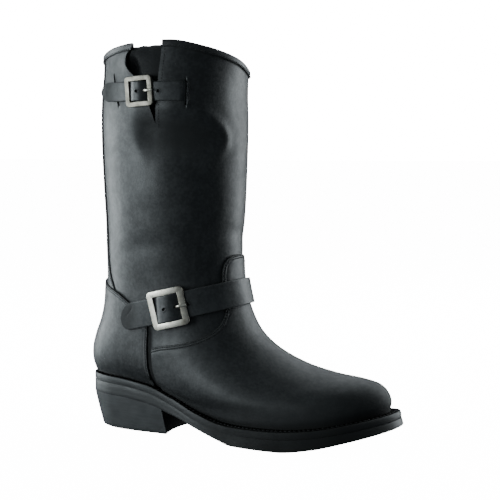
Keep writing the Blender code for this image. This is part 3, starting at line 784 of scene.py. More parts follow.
@dataclass(frozen=True)
class LeatherFinish:
    """Oiled leather: fine pebble grain, cloudy sheen, a little dust, pale cut edges, painted shade and highlights."""

    name: str
    dark: Colour = (0.0085, 0.0092, 0.0098)
    cloud: Colour = (0.0165, 0.0176, 0.0185)
    # Pale colour of scratches and cut edges, and of painted highlights on ridges
    cut: Colour = (0.060, 0.061, 0.060)
    dust: Colour = (0.20, 0.20, 0.19)
    # Colour of the painted shade in grooves, holes, creases, hollows and along edges
    deep: Colour = (0.0012, 0.0012, 0.0013)
    smooth: float = 0.40
    dull: float = 0.54
    grain: float = 1.0
    grain_depth: float = 0.07
    wrinkle: float = 9.0
    wrinkle_depth: float = 0.20
    shine: float = 0.44
    mottle: float = 0.25

    def material(self) -> Material:
        """Build the finish.

        Returns:
            The material.
        """
        sh = Shader(self.name)
        pebble, fine = sh.cells(self.grain), sh.noise(0.45, 3.0)
        cloud, haze, nap = sh.noise(34.0, 5.0), sh.noise(7.0, 4.0), sh.noise(2.6, 3.0)
        crease = sh.noise(self.wrinkle, 6.0, (1.0, 1.0, 0.55))
        scratch = sh.noise(7.0, 3.0, (1.0, 1.0, 11.0), 38.0)
        scratch = sh.between(scratch, 0.70, 0.80) * sh.between(sh.noise(48.0), 0.55, 0.68)
        specks = sh.between(sh.cells(17.0), 0.045, 0.02) * sh.between(sh.noise(11.0), 0.5, 0.62)
        worn, painted_shade = sh.attribute("cut_edge_and_highlight"), sh.attribute("painted_shade")
        tone = sh.between(cloud * 0.5 + haze * 0.25 + nap * 0.25, 0.38, 0.64)
        colour = sh.blend(tone, self.dark, self.cloud)
        colour = sh.blend(scratch * 0.35, colour, self.cut)
        # Pale cut edges, partly painted highlights on ridges and on the slit's curled edge
        colour = sh.blend(worn, colour, self.cut)
        colour = sh.blend(specks * 0.5, colour, self.dust)
        # Painted shade: darker colour where shade falls
        colour = sh.blend(painted_shade, colour, self.deep)
        gloss = sh.between(cloud * 0.45 + nap * 0.3 + fine * 0.25, 0.37, 0.63, self.smooth, self.dull)
        gloss = gloss + worn * 0.12 + scratch * 0.1 + painted_shade * 0.45
        shape = sh.bump(crease, self.wrinkle_depth, 0.55)
        sheen = sh.between(haze * 0.5 + nap * 0.5, 0.40, 0.62, 0.0, self.mottle) * (1.0 - painted_shade)
        return sh.principled(
            Base_Color=colour,
            Roughness=gloss,
            Normal=sh.bump(pebble * 0.65 + fine * 0.35, self.grain_depth, 0.5, shape),
            Specular_IOR_Level=self.shine,
            Coat_Weight=sheen,
            Coat_Roughness=(self.smooth + self.dull) / 2.0,
        )


@dataclass(frozen=True)
class MetalFinish:
    """Old brushed nickel: warm, satin, darker tarnish, fine scratches, and a dark share that is partly painted shade.
    """

    name: str
    bright: Colour = (0.80, 0.755, 0.66)
    tarnish: Colour = (0.44, 0.40, 0.33)
    # Dark tone of the stored share: some tarnish, mostly painted shade
    tarnish_and_shade_tone: Colour = (0.15, 0.139, 0.116)

    def material(self) -> Material:
        """Build the finish.

        Returns:
            The material.
        """
        sh = Shader(self.name)
        brushed, stain = sh.noise(0.5, 3.0, (1.0, 1.0, 0.08)), sh.noise(6.0, 5.0)
        tarnish_and_shade = sh.attribute("tarnish_and_shade")
        colour = sh.blend(sh.between(stain * 0.75 + brushed * 0.25, 0.44, 0.74), self.bright, self.tarnish)
        # Stored share: painted shade with some tarnish, on the front bar and on the whole top buckle
        colour = sh.blend(tarnish_and_shade * sh.between(stain, 0.3, 0.7, 0.86, 1.0), colour, self.tarnish_and_shade_tone)
        rough = sh.between(stain * 0.5 + brushed * 0.5, 0.3, 0.7, 0.26, 0.40) + tarnish_and_shade * 0.14
        bump = sh.bump(brushed, 0.02, 0.35)
        return sh.principled(Base_Color=colour, Roughness=rough, Metallic=1.0, Normal=bump)


@dataclass(frozen=True)
class RubberFinish:
    """Black sole edge: satin, dressed, with a faint drag of fine lines along it.

    Along the forefoot it may turn darker and duller: painted shade.
    """

    name: str
    dark: Colour = (0.010, 0.0105, 0.011)
    pale: Colour = (0.021, 0.022, 0.0228)
    smooth: float = 0.44
    dull: float = 0.60
    shine: float = 0.36
    # Share of the painted shade along the forefoot, and its colour below
    fade: float = 0.0
    scuffed: Colour = (0.07, 0.071, 0.07)
    forefoot_shade_colour: Colour = (0.0022, 0.0022, 0.0023)

    def material(self) -> Material:
        """Build the finish.

        Returns:
            The material.
        """
        sh = Shader(self.name)
        ahead = sh.node("ShaderNodeSeparateXYZ", None, {0: sh.place}, "X")
        # Painted shade along the forefoot's side
        forefoot_shade = self.fade * sh.between(ahead, 0.070, 0.122) * sh.between(ahead, 0.232, 0.262, 1.0, 0.1)
        drag = sh.noise(1.6, 4.0, (0.10, 0.10, 1.0))
        patch, fine = sh.noise(22.0, 5.0), sh.noise(0.6, 2.0)
        scuff = sh.between(sh.noise(6.0, 4.0, (0.5, 0.5, 2.2)), 0.60, 0.78)
        colour = sh.blend(sh.between(drag * 0.5 + patch * 0.5, 0.36, 0.68), self.dark, self.pale)
        colour = sh.blend(scuff * 0.16, colour, self.scuffed)
        colour = sh.blend(forefoot_shade, colour, self.forefoot_shade_colour)
        rough = sh.between(patch * 0.6 + fine * 0.4, 0.34, 0.68, self.smooth, self.dull) + forefoot_shade * 0.34
        bump = sh.bump(drag * 0.6 + fine * 0.4, 0.07, 0.35)
        return sh.principled(Base_Color=colour, Roughness=rough, Normal=bump, Specular_IOR_Level=self.shine)


@dataclass(frozen=True)
class PlainFinish:
    """Simple finish for thread, lining and insole."""

    name: str
    dark: Colour
    pale: Colour
    rough: float
    grain: float
    depth: float

    def material(self) -> Material:
        """Build the finish.

        Returns:
            The material.
        """
        sh = Shader(self.name)
        fine, patch = sh.noise(self.grain, 4.0), sh.noise(self.grain * 14.0, 4.0)
        colour = sh.blend(sh.between(fine * 0.4 + patch * 0.6, 0.35, 0.66), self.dark, self.pale)
        rough = sh.between(fine, 0.3, 0.7, self.rough - 0.08, self.rough + 0.08)
        return sh.principled(Base_Color=colour, Roughness=rough, Normal=sh.bump(fine, self.depth, 0.5))


SHAFT_LEATHER = LeatherFinish("shaft_leather_look")
VAMP_LEATHER = LeatherFinish("vamp_leather_look", smooth=0.45, dull=0.58, wrinkle=14.0, wrinkle_depth=0.12)
COUNTER_LEATHER = LeatherFinish("counter_leather_look", wrinkle=4.5, wrinkle_depth=0.34)
# The gusset's darker colours are painted shade, as it sits recessed behind the slit
GUSSET_LEATHER = LeatherFinish(
    "gusset_leather_look", (0.005, 0.0053, 0.0056), (0.010, 0.0106, 0.011),
    smooth=0.52, dull=0.66, wrinkle=6.0, shine=0.12, mottle=0.0,
)
BINDING_LEATHER = LeatherFinish("binding_leather_look", smooth=0.42, dull=0.56)
# The straps' lighter colours are painted light, for their faces turned from the lamps
STRAP_LEATHER = LeatherFinish(
    "strap_leather_look", (0.015, 0.0161, 0.017), (0.028, 0.030, 0.0315), wrinkle=12.0, wrinkle_depth=0.10
)
NICKEL = MetalFinish("buckle_nickel_look")
# Welt and outsole darken along the forefoot: painted shade
WELT_RUBBER = RubberFinish("welt_look", fade=0.86)
OUTSOLE_RUBBER = RubberFinish("outsole_look", fade=0.92)
HEEL_RUBBER = RubberFinish("heel_look", (0.022, 0.023, 0.0238), (0.038, 0.0396, 0.041), 0.40, 0.54, 0.55)
# The heel's breast in a darker, duller copy of the heel's rubber: painted shade
BREAST_SHADE_RUBBER = RubberFinish("heel_breast_shade_look", (0.003, 0.003, 0.0031), (0.009, 0.009, 0.009), 0.75, 0.95, 0.12)
# Near-black top of the welt under the upper's edge: painted shade
WELT_TOP_SHADE = RubberFinish("welt_top_shade_look", (0.0015, 0.0015, 0.0016), (0.004, 0.004, 0.004), 0.8, 0.95, 0.08)
LINING = PlainFinish("lining_look", (0.020, 0.018, 0.016), (0.034, 0.031, 0.028), 0.72, 0.9, 0.08)
INSOLE = PlainFinish("insole_look", (0.30, 0.19, 0.11), (0.46, 0.31, 0.19), 0.68, 1.2, 0.10)
THREAD = PlainFinish("thread_look", (0.003, 0.003, 0.0031), (0.012, 0.012, 0.012), 0.75, 0.35, 0.06)
# Welt thread darker than the other thread: black thread with painted shade in the gap under the upper
WELT_THREAD = PlainFinish("welt_thread_look", (0.0015, 0.0015, 0.0016), (0.005, 0.005, 0.005), 0.9, 0.4, 0.06)

Finish = LeatherFinish | MetalFinish | RubberFinish | PlainFinish


@cache
def look(finish: Finish) -> Material:
    """Material of a finish, made once."""
    return finish.material()


def placed(name: str, data: bpy.types.ID) -> Object:
    """Object in the scene that holds a mesh, a light or a camera.

    Args:
        name: Name of the object.
        data: What it holds.

    Returns:
        The object.
    """
    made = bpy.data.objects.new(name, data)
    bpy.context.scene.collection.objects.link(made)
    return made


def store(mesh: Mesh, label: str, numbers: Any) -> None:
    """Keep a value for each point of a mesh under a name."""
    layer = mesh.attributes.new(label, "FLOAT", "POINT")
    layer.data.foreach_set("value", np.asarray(numbers, np.float32).ravel())


def sharpen(mesh: Mesh, degrees: float) -> None:
    """Mark edges as sharp above an angle."""
    mesh.set_sharp_from_angle(angle=np.radians(degrees))


def solid(
    name: str, points: Array, faces: Sequence[Sequence[int]], values: dict[str, Array] | None = None,
    slots: Array | None = None, merge: float = 1e-5, crease: float = 40.0,
) -> Object:
    """Closed piece with its doubles merged, its faces pointing outwards and its shading smooth.

    Args:
        name: Name of the piece.
        points: Points in millimetres.
        faces: Faces by point number.
        values: Values to store on the points, by name.
        slots: Material slot of each face.
        merge: Distance in metres within which points are joined.
        crease: Angle in degrees above which an edge is sharp.

    Returns:
        The object, in the scene.
    """
    mesh = bpy.data.meshes.new(name)
    mesh.from_pydata((np.asarray(points) * MM).tolist(), [], faces)
    if slots is not None:
        mesh.polygons.foreach_set("material_index", slots.astype(np.int32))
    for label, numbers in (values or {}).items():
        store(mesh, label, numbers)
    bm = bmesh.new()
    bm.from_mesh(mesh)
    if merge:
        bmesh.ops.remove_doubles(bm, verts=bm.verts, dist=merge)
        bmesh.ops.dissolve_degenerate(bm, edges=bm.edges, dist=merge)
    bmesh.ops.recalc_face_normals(bm, faces=bm.faces)
    if bm.calc_volume(signed=True) < 0.0:
        bmesh.ops.reverse_faces(bm, faces=bm.faces)
    for face in bm.faces:
        face.smooth = True
    bm.to_mesh(mesh)
    bm.free()
    sharpen(mesh, crease)
    return placed(name, mesh)


def grid_faces(rows: int, cols: int, round_closed: bool = False) -> Array:
    """Four-sided faces of a grid of points.

    Args:
        rows: Number of rows.
        cols: Number of points in a row.
        round_closed: Whether the last column joins the first.

    Returns:
        Rows of point numbers.
    """
    i, j = np.meshgrid(np.arange(rows - 1), np.arange(cols if round_closed else cols - 1), indexing="ij")
    k = (j + 1) % cols
    return np.stack([i * cols + j, i * cols + k, (i + 1) * cols + k, (i + 1) * cols + j], -1).reshape(-1, 4)


def tube_faces(stations: int, around: int) -> list[list[int]]:
    """Faces of a closed section carried along a path, with both ends closed."""
    ends = np.array([np.arange(around), (stations - 1) * around + np.arange(around)[::-1]])
    return grid_faces(stations, around, round_closed=True).tolist() + ends.tolist()


def cross_faces(start: int, count: int, steps: int) -> list[list[int]]:
    """Faces, by point number, that cross a closed loop of points from its first point on."""
    quads = ((i, i + 1, (count - i - 1) % count, (count - i) % count) for i in range(steps))
    return [[start + k for k in dict.fromkeys(quad)] for quad in quads]


def sheet(
    name: str, outer: Array, inner: Array, values: dict[str, Array], merge: float = 1e-5, sewn_from: int | None = None
) -> Object:
    """Closed sheet between two grids of points, with its inner faces in the second material slot.

    Args:
        name: Name of the piece.
        outer: Outer points, rows by columns.
        inner: Inner points, in the same order.
        values: Values on the outer points, by name; the inner points get 0.
        merge: Distance in metres within which points are joined.
        sewn_from: Row from which the first and the last column are one.

    Returns:
        The object, in the scene.
    """
    rows, cols = outer.shape[:2]
    half = rows * cols
    front = grid_faces(rows, cols)
    back = front[:, ::-1] + half
    number = np.arange(half).reshape(rows, cols)
    ring = np.r_[number[0], number[1:, -1], number[-1, -2::-1], number[-2:0:-1, 0]]
    after = np.roll(ring, -1)
    rim = np.stack([ring, ring + half, after + half, after], 1)
    if sewn_from is not None:
        low = np.minimum(ring, after) // cols >= sewn_from
        rim = rim[~(low & (np.abs(after - ring) == cols))]
    points = np.vstack([outer.reshape(-1, 3), inner.reshape(-1, 3)])
    stored = {label: np.r_[np.ravel(a), np.zeros(half)] for label, a in values.items()}
    slots = np.repeat([0, 1, 0], [len(front), len(back), len(rim)])
    return solid(name, points, np.vstack([front, back, rim]).tolist(), stored, slots, merge, crease=50.0)


def dress(piece: Object, slot: str, nodes: Sequence[str], *finishes: Finish) -> None:
    """Give a piece its materials and its body, and hide the CAD nodes it stands for.

    Args:
        piece: The piece.
        slot: Material slot of the record; not used.
        nodes: CAD nodes that the piece replaces.
        finishes: Finishes of the piece's slots, unless a geometry tree has set them.
    """
    for finish in finishes:
        piece.data.materials.append(look(finish))
    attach(piece, BODY)
    if nodes:
        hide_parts(*nodes)
    LOG.info("%s: %d triangles", piece.name, sum(len(p.vertices) - 2 for p in piece.data.polygons))


class GeometryTree(Tree):
    """Geometry tree with named inputs, run on a guide mesh."""

    def __init__(self, name: str, sizes: Sequence[str], finish: str, seed: str | None = None) -> None:
        """Make the tree.

        Args:
            name: Name of the tree.
            sizes: Names of its inputs for sizes.
            finish: Name of its input for the material.
            seed: Name of its input for the random seed, where it has one.
        """
        self.group = bpy.data.node_groups.new(name, "GeometryNodeTree")
        super().__init__(self.group)
        self.finish = finish
        face = self.group.interface
        sockets = {"Geometry": "NodeSocketGeometry"} | {size: "NodeSocketFloat" for size in sizes}
        sockets |= {seed: "NodeSocketInt"} if seed else {}
        for label, kind in (sockets | {finish: "NodeSocketMaterial"}).items():
            face.new_socket(label, in_out="INPUT", socket_type=kind)
        face.new_socket("Geometry", in_out="OUTPUT", socket_type="NodeSocketGeometry")
        self.entry = self.tree.nodes.new("NodeGroupInput")

    def given(self, label: str) -> Wire:
        """A named input."""
        return Wire(self, self.entry.outputs[label])

    def skin_out(self) -> Wire:
        """Outward direction kept on the guide's points."""
        settings = {"data_type": "FLOAT_VECTOR"}
        return self.node("GeometryNodeInputNamedAttribute", settings, {"Name": "skin_out"})

    def close(self, shape: Wire) -> None:
        """End the tree: real geometry with the given material.

        Args:
            shape: Geometry with its instances.
        """
        real = self.node("GeometryNodeRealizeInstances", None, {0: shape})
        real = self.node("GeometryNodeSetShadeSmooth", None, {"Geometry": real})
        real = self.node("GeometryNodeSetMaterial", None, {"Geometry": real, "Material": self.given(self.finish)})
        self.node("NodeGroupOutput", None, {0: real})

    def run(self, name: str, guide: Mesh, sizes: dict[str, float], **others: Any) -> Object:
        """Run the tree on a guide and keep the result as a plain mesh.

        Args:
            name: Name of the piece.
            guide: Guide mesh in metres.
            sizes: Sizes in millimetres, by the name of the input.
            others: Values of the other inputs.

        Returns:
            The piece.
        """
        holder = placed(name, guide)
        step = holder.modifiers.new("make", "NODES")
        step.node_group = self.group
        sockets = {s.name: s.identifier for s in self.group.interface.items_tree if s.in_out == "INPUT"}
        for label, value in ({size: number * MM for size, number in sizes.items()} | others).items():
            step[sockets[label]] = value
        graph = bpy.context.evaluated_depsgraph_get()
        made = bpy.data.meshes.new_from_object(holder.evaluated_get(graph), depsgraph=graph)
        holder.modifiers.clear()
        holder.data = made
        made.name = name
        bpy.data.meshes.remove(guide)
        return holder


def guide_mesh(name: str, lines: Sequence[Line], joined: bool = True) -> Mesh:
    """Guide of lines or points with the outward direction at each point.

    Args:
        name: Name of the mesh.
        lines: Lines of points with their outward directions.
        joined: Whether the points of a line are joined by edges.

    Returns:
        The mesh, in metres.
    """
    edges, start = [], 0
    for points, _ in lines:
        edges += [(start + i, start + i + 1) for i in range(len(points) - 1)]
        start += len(points)
    mesh = bpy.data.meshes.new(name + "_guide")
    mesh.from_pydata((np.vstack([p for p, _ in lines]) * MM).tolist(), edges if joined else [], [])
    layer = mesh.attributes.new("skin_out", "FLOAT_VECTOR", "POINT")
    layer.data.foreach_set("vector", np.vstack([o for _, o in lines]).astype(np.float32).ravel())
    return mesh


@dataclass
class StitchMaker:
    """Rows of stitches laid along lines on the leather."""

    pitch: float = 2.6
    length: float = 1.55
    width: float = 0.8
    height: float = 0.7
    wander: float = 0.10
    seed: int = 7
    tree: GeometryTree | None = field(default=None, init=False)

    def build_tree(self) -> GeometryTree:
        """Tree that sets a stitch at even steps along each line.

        Returns:
            The tree.
        """
        tree = GeometryTree("stitch_rows", ("Pitch", "Length", "Width", "Height", "Wander"), "Thread", "Seed")
        line = tree.node("GeometryNodeMeshToCurve", None, {"Mesh": tree.given("Geometry")})
        spots = {"Curve": line, "Length": tree.given("Pitch")}
        line = tree.node("GeometryNodeResampleCurve", {"mode": "LENGTH"}, spots)
        ball = tree.node("GeometryNodeMeshUVSphere", None, {"Segments": 8, "Rings": 4, "Radius": 0.5})
        sizes = {"X": tree.given("Length"), "Y": tree.given("Width"), "Z": tree.given("Height")}
        size = tree.node("ShaderNodeCombineXYZ", None, sizes)
        stitch = tree.node("GeometryNodeTransform", None, {"Geometry": ball, "Scale": size})
        axes = {"primary_axis": "Z", "secondary_axis": "X"}
        run = tree.node("GeometryNodeInputTangent")
        turn = tree.node("FunctionNodeAxesToRotation", axes, {0: tree.skin_out(), 1: run})
        wander = tree.given("Wander")
        chance = {2: wander * -1.0, 3: wander, 8: tree.given("Seed")}
        sway = tree.node("FunctionNodeRandomValue", {"data_type": "FLOAT"}, chance, 1)
        sway = tree.node("ShaderNodeCombineXYZ", None, {"Z": sway})
        sway = tree.node("FunctionNodeEulerToRotation", None, {0: sway})
        turn = tree.node("FunctionNodeRotateRotation", {"rotation_space": "LOCAL"}, {0: turn, 1: sway})
        spots = {"Points": line, "Instance": stitch, "Rotation": turn}
        tree.close(tree.node("GeometryNodeInstanceOnPoints", None, spots))
        return tree

    def rows(self, name: str, lines: Sequence[Line], thread: Finish, **sizes: float) -> Object:
        """Sew rows of stitches.

        Args:
            name: Name of the piece.
            lines: Lines to sew along.
            thread: The thread's finish.
            sizes: Sizes in millimetres that differ from the maker's own.

        Returns:
            The piece.
        """
        self.tree = self.tree or self.build_tree()
        own = {"Pitch": self.pitch, "Length": self.length, "Width": self.width, "Height": self.height}
        sizes = {label: sizes.get(label.lower(), size) for label, size in own.items()}
        guide = guide_mesh(name, lines)
        return self.tree.run(name, guide, sizes, Wander=self.wander, Seed=self.seed, Thread=look(thread))


@dataclass
class ShaftPanel:
    """The upper itself: shaft, quarters and lining, with its slit, seams and strap slots.

    Its rows are counted, both ends in, from the collar to the slit's point, to the foot and to the welt.
    """

    seam_step: float = 0.95
    seam_fall: float = 34.0
    curl: Groove = Groove(341.0, 8.0, 2.6)
    curl_wide: float = 7.0
    lip_band: Triple = (303.5, 327.0, 3.0)
    slot_band: Triple = (304.5, 333.0, 2.0)
    # Heights of the painted shade in the slot behind the strap's tip
    slot_shade: Triple = (305.0, 332.0, 2.0)
    row_counts: tuple[int, ...] = (46, 85, 53)
    foot_from: float = 5.0
    fills: tuple[int, ...] = (8, 96, 36, 8, 10)
    edge: Row = (0.0, 0.25, 0.7, 1.5, 2.6)
    beside: Row = (2.4, 1.2, 0.6, 0.3, 0.1, -0.1, -0.3, -0.6, -1.2, -2.4)

    def __post_init__(self) -> None:
        """Find the ring of the slit's point."""
        x, z = SLIT_FRONT[0]
        angle = np.radians(FORM.angle_at_x(1.3, x))
        self.point_ring = float(FORM.ring_at_height(np.array([angle]), z)[0])

    def slit_angle(self, v: Array, rows: Sequence[Side]) -> Array:
        """Angle in degrees of one edge of the slit on each ring."""
        x = np.where(v >= self.point_ring, rows[0].x, read(rows, "z", "x", FORM.level(v, 85.0)))
        return FORM.angle_at_x(v, x)

    def seam_angle(self, v: Array) -> Array:
        """Angle in degrees of the rear seam on each ring."""
        return read(SHAFT_SEAM, "z", "angle", FORM.level(v, 138.0))

    def slot_angle(self, v: Array) -> Array:
        """Angle in degrees of the slot behind the strap's tip on each ring."""
        low, high = TIP_SLOT
        return np.interp(FORM.level(v, 116.0), (low.z, high.z), (low.angle, high.angle))

    def rings(self) -> Array:
        """Rings of the mesh from the collar down."""
        stops = (0.0, self.point_ring, self.foot_from, FORM.last)
        return np.r_[0.0, *(np.linspace(*part)[1:] for part in zip(stops, stops[1:], self.row_counts))]

    def angles(self, v: Array) -> Array:
        """Columns of the mesh on each ring, from the slit's front edge round to its rear one.

        Args:
            v: Rings.

        Returns:
            Angles in degrees, rings by columns.
        """
        edge, beside = np.array(self.edge), np.array(self.beside)
        seam = self.seam_angle(v)
        stops = [
            (self.slit_angle(v, SLIT_FRONT), -edge),
            (np.full(len(v), STRAP_SLIT_ANGLE), beside),
            (-seam, beside),
            (seam - TURN, beside),
            (self.slot_angle(v) - TURN, beside),
            (self.slit_angle(v, SLIT_REAR) - TURN, edge[::-1]),
        ]
        groups = [place[:, None] + offsets for place, offsets in stops]
        parts = [groups[0]]
        for count, before, after in zip(self.fills, groups, groups[1:]):
            start, end = before[:, -1:], after[:, :1]
            parts += [start + (end - start) * (np.arange(1, count + 1) / (count + 1.0)), after]
        return np.concatenate(parts, 1)

    def curl_lift(self, v: Array, angle: Array) -> Array:
        """How far the free rear edge of the slit stands off, by ring and angle in degrees."""
        away = np.clip((angle - (self.slit_angle(v[:, 0], SLIT_REAR)[:, None] - TURN)) * ARC, 0.0, None)
        return relief_of([self.curl], FORM.level(v[:, 0], 100.0)[:, None]) * bell(away, self.curl_wide)

    def from_slot(self, v: Array, angle: Array) -> Array:
        """Distance from the slot behind the strap's tip, by ring and angle in degrees."""
        return (angle - (self.slot_angle(v[:, 0])[:, None] - TURN)) * ARC

    def lift(self, v: Array, angle: Array) -> Array:
        """Height of seams, slots and curled edge over the form.

        Args:
            v: Rings, rows by columns.
            angle: Angles in degrees.

        Returns:
            Heights.
        """
        z = FORM.level(v, angle)
        total = self.curl_lift(v, angle)
        seam = self.seam_angle(v[:, 0])[:, None]
        for away in ((-seam - angle) * ARC, (angle - (seam - TURN)) * ARC):
            total += self.seam_step * jump(away, 0.22) * (1.0 - rise(away, 0.0, self.seam_fall))
            total += relief_of(SEAM_GROOVES, away)
        total += band(z, *self.lip_band) * relief_of(LIP_GROOVES, (angle - STRAP_SLIT_ANGLE) * ARC)
        return total + band(z, *self.slot_band) * relief_of(SLOT_GROOVES, np.abs(self.from_slot(v, angle)))

    def painted_shade(self, v: Array, angle: Array, z: Array) -> Array:
        """Painted shade: in the groove before the counter, in the slot, along the seams, in the hollows and towards
        the top of the back.

        Args:
            v: Rings, rows by columns.
            angle: Angles in degrees.
            z: Heights.

        Returns:
            Shares.
        """
        wrap = np.where(angle > 0.0, angle, angle + TURN)
        side = np.minimum(wrap, TURN - wrap)
        seam = (self.seam_angle(v[:, 0])[:, None] - side) * ARC
        hollow = rise(-FORM.relief(FORM.point(v, np.radians(angle))), 1.2, 3.6)
        shares = (
            bell(side - counter_front(v) + 1.6, 1.9) * (1.0 - rise(z, 98.0, 8.0)),
            band(z, *self.slot_shade) * bell(self.from_slot(v, angle), 0.9),
            0.97 * bell(seam - 0.5, 1.4),
            0.62 * hollow * (wrap < 112.0) * rise(wrap, 18.0, 14.0),
            0.34 * rise(z, 288.0, 30.0) * rise(side, 96.0, 26.0),
        )
        return np.maximum.reduce(shares)

    def build(self) -> Object:
        """Mesh of the upper.

        Returns:
            The piece.
        """
        rings = self.rings()
        angle = self.angles(rings)
        v = np.broadcast_to(rings[:, None], angle.shape)
        outer = FORM.skin(v, np.radians(angle), self.lift(v, angle))
        inner = FORM.skin(v, np.radians(angle), self.curl_lift(v, angle) - WALL)
        z = outer[..., 2]
        # Pale cut edge along the slit's curled rear edge, partly a painted highlight
        worn = 0.7 * bell((angle - angle[:, -1:]) * ARC, 1.1) * rise(z, 326.0, 8.0)
        values = {"cut_edge_and_highlight": worn, "painted_shade": self.painted_shade(v, angle, z)}
        return sheet("upper_leather", outer, inner, values, merge=2e-6, sewn_from=self.row_counts[0] - 1)

    def line(self, v: Array, angle: Array, lift: float) -> Line:
        """Stitch line on rings and angles in degrees."""
        total = self.lift(v[:, None], angle[:, None])[:, 0] + lift
        return FORM.skin(v, np.radians(angle), total), FORM.frame(v, np.radians(angle))[0]

    def stitch_lines(self) -> list[Line]:
        """Lines beside the rear seams and the slit's front edge, and the tack that holds the strap.

        Returns:
            The lines.
        """
        down = np.linspace(0.10, 5.6, 150)
        seam, back = self.seam_angle(down), SEAM_STITCH / ARC
        lines = [self.line(down, angle, STITCH_LIFT) for angle in (seam - TURN + back, -seam - back)]
        down = np.linspace(0.12, self.point_ring + 0.05, 60)
        lines.append(self.line(down, self.slit_angle(down, SLIT_FRONT) - SLIT_STITCH / ARC, 0.05))
        angle, z = (np.interp(np.linspace(0.0, 2.0, 30), (0, 1, 2), column) for column in zip(*STRAP_TACK))
        return [*lines, self.line(FORM.ring_at_height(np.radians(angle), z), angle, 0.05)]


@dataclass
class Gusset:
    """Soft wedge of leather behind the slit; its angles are at the top and low down."""

    thickness: float = 1.2
    rows: int = 40
    cols: int = 36
    low_z: float = 279.0
    rear: Pair = (113.0, 88.0)
    front: Pair = (67.0, 75.0)
    belly_depth: float = 4.6
    pocket_depth: float = 6.0
    lip: float = 2.0

    def build(self) -> Object:
        """Mesh of the gusset, folded inwards low down.

        Returns:
            The piece.
        """
        d, a = np.meshgrid(np.linspace(0.0, 1.0, self.rows), np.linspace(0.0, 1.0, self.cols), indexing="ij")
        rear, front = (top + (low - top) * d for top, low in (self.rear, self.front))
        degrees = rear + (front - rear) * a
        angle = np.radians(degrees)
        top = FORM.level(0.02, degrees) - 0.8 + 0.5 * np.sin(a * 23.0) * np.sin(a * 9.0)
        z = top + (self.low_z - top) * d
        v = FORM.ring_at_height(angle, z)
        belly = np.sin(a * np.pi) ** 2
        pocket = bell(degrees - 98.6 - (z - 341.0) * 0.32, 3.4) * bell(z - 340.5, 8.0)
        back = WALL + 2.0 * GAP + 1.2 * bell(a - 0.5, 0.5) * (1.0 - rise(d, 0.0, 0.16))
        back = back + belly * self.belly_depth * rise(d, 0.42, 0.25) + self.pocket_depth * pocket
        back = back + 0.25 * np.sin(d * 14.0 + a * 3.0)
        flap = FORM.angle_at_x(v, read(SLIT_REAR, "z", "x", z))
        back = back - self.lip * bell(degrees - flap + 2.5, 2.6) * rise(z, 345.0, 6.0)
        outer, inner = FORM.skin(v, angle, -back), FORM.skin(v, angle, -back - self.thickness)
        return sheet("gusset_leather", outer, inner, {"cut_edge_and_highlight": bell(d * 78.0, 0.8)})


@dataclass
class CollarBinding:
    """Strip folded over the top edge of the shaft and sewn down."""

    shaft: ShaftPanel
    leg: float = 1.25
    drop: float = 4.4
    cap_from: float = 0.3
    cap_height: float = 2.0
    stitch_up: float = 1.1
    stations: int = 230

    def profile(self) -> Array:
        """Section of the strip.

        Returns:
            Points, out from the leather's face and up from its edge.
        """
        out, inn, low = GAP + self.leg, -WALL - GAP - self.leg, -self.drop
        roll = np.linspace(0.0, np.pi, 11)
        across = (out + inn) / 2.0 + (out - inn) / 2.0 * np.cos(roll)
        cap = np.stack([across, self.cap_from + self.cap_height * np.sin(roll)], 1)
        legs_out = [(GAP, low), (out - 0.35, low), (out - 0.05, low + 0.35), (out, low + 1.6)]
        legs_in = [(inn, low + 0.5), (-WALL - GAP, low), (-WALL - GAP, GAP), (GAP, GAP)]
        return np.vstack([legs_out, cap, legs_in])

    def rim(self, count: int) -> tuple[Array, Array, Array]:
        """Top edge of the leather from one side of the slit round to the other.

        Args:
            count: Number of points.

        Returns:
            Points with their outward and upward directions.
        """
        zero = np.zeros(1)
        first = self.shaft.slit_angle(zero, SLIT_FRONT)[0]
        last = self.shaft.slit_angle(zero, SLIT_REAR)[0] - TURN
        degrees = np.linspace(first, last, count)
        v, angle = np.zeros(count), np.radians(degrees)
        lift = self.shaft.curl_lift(v[None], degrees[None])[0]
        return FORM.skin(v, angle, lift), *FORM.frame(v, angle)

    def build(self) -> Object:
        """Mesh of the binding.

        Returns:
            The piece.
        """
        base, out, up = self.rim(self.stations)
        section = self.profile()
        points = base[:, None] + out[:, None] * section[None, :, :1] + up[:, None] * section[None, :, 1:]
        faces = tube_faces(self.stations, len(section))
        return solid("collar_binding_strip", points.reshape(-1, 3), faces, merge=0.0, crease=55.0)

    def stitch_line(self) -> Line:
        """Line of stitches along the strip's lower edge."""
        base, out, up = (part[3:-3] for part in self.rim(500))
        return base + out * (GAP + self.leg + 0.05) - up * (self.drop - self.stitch_up), out


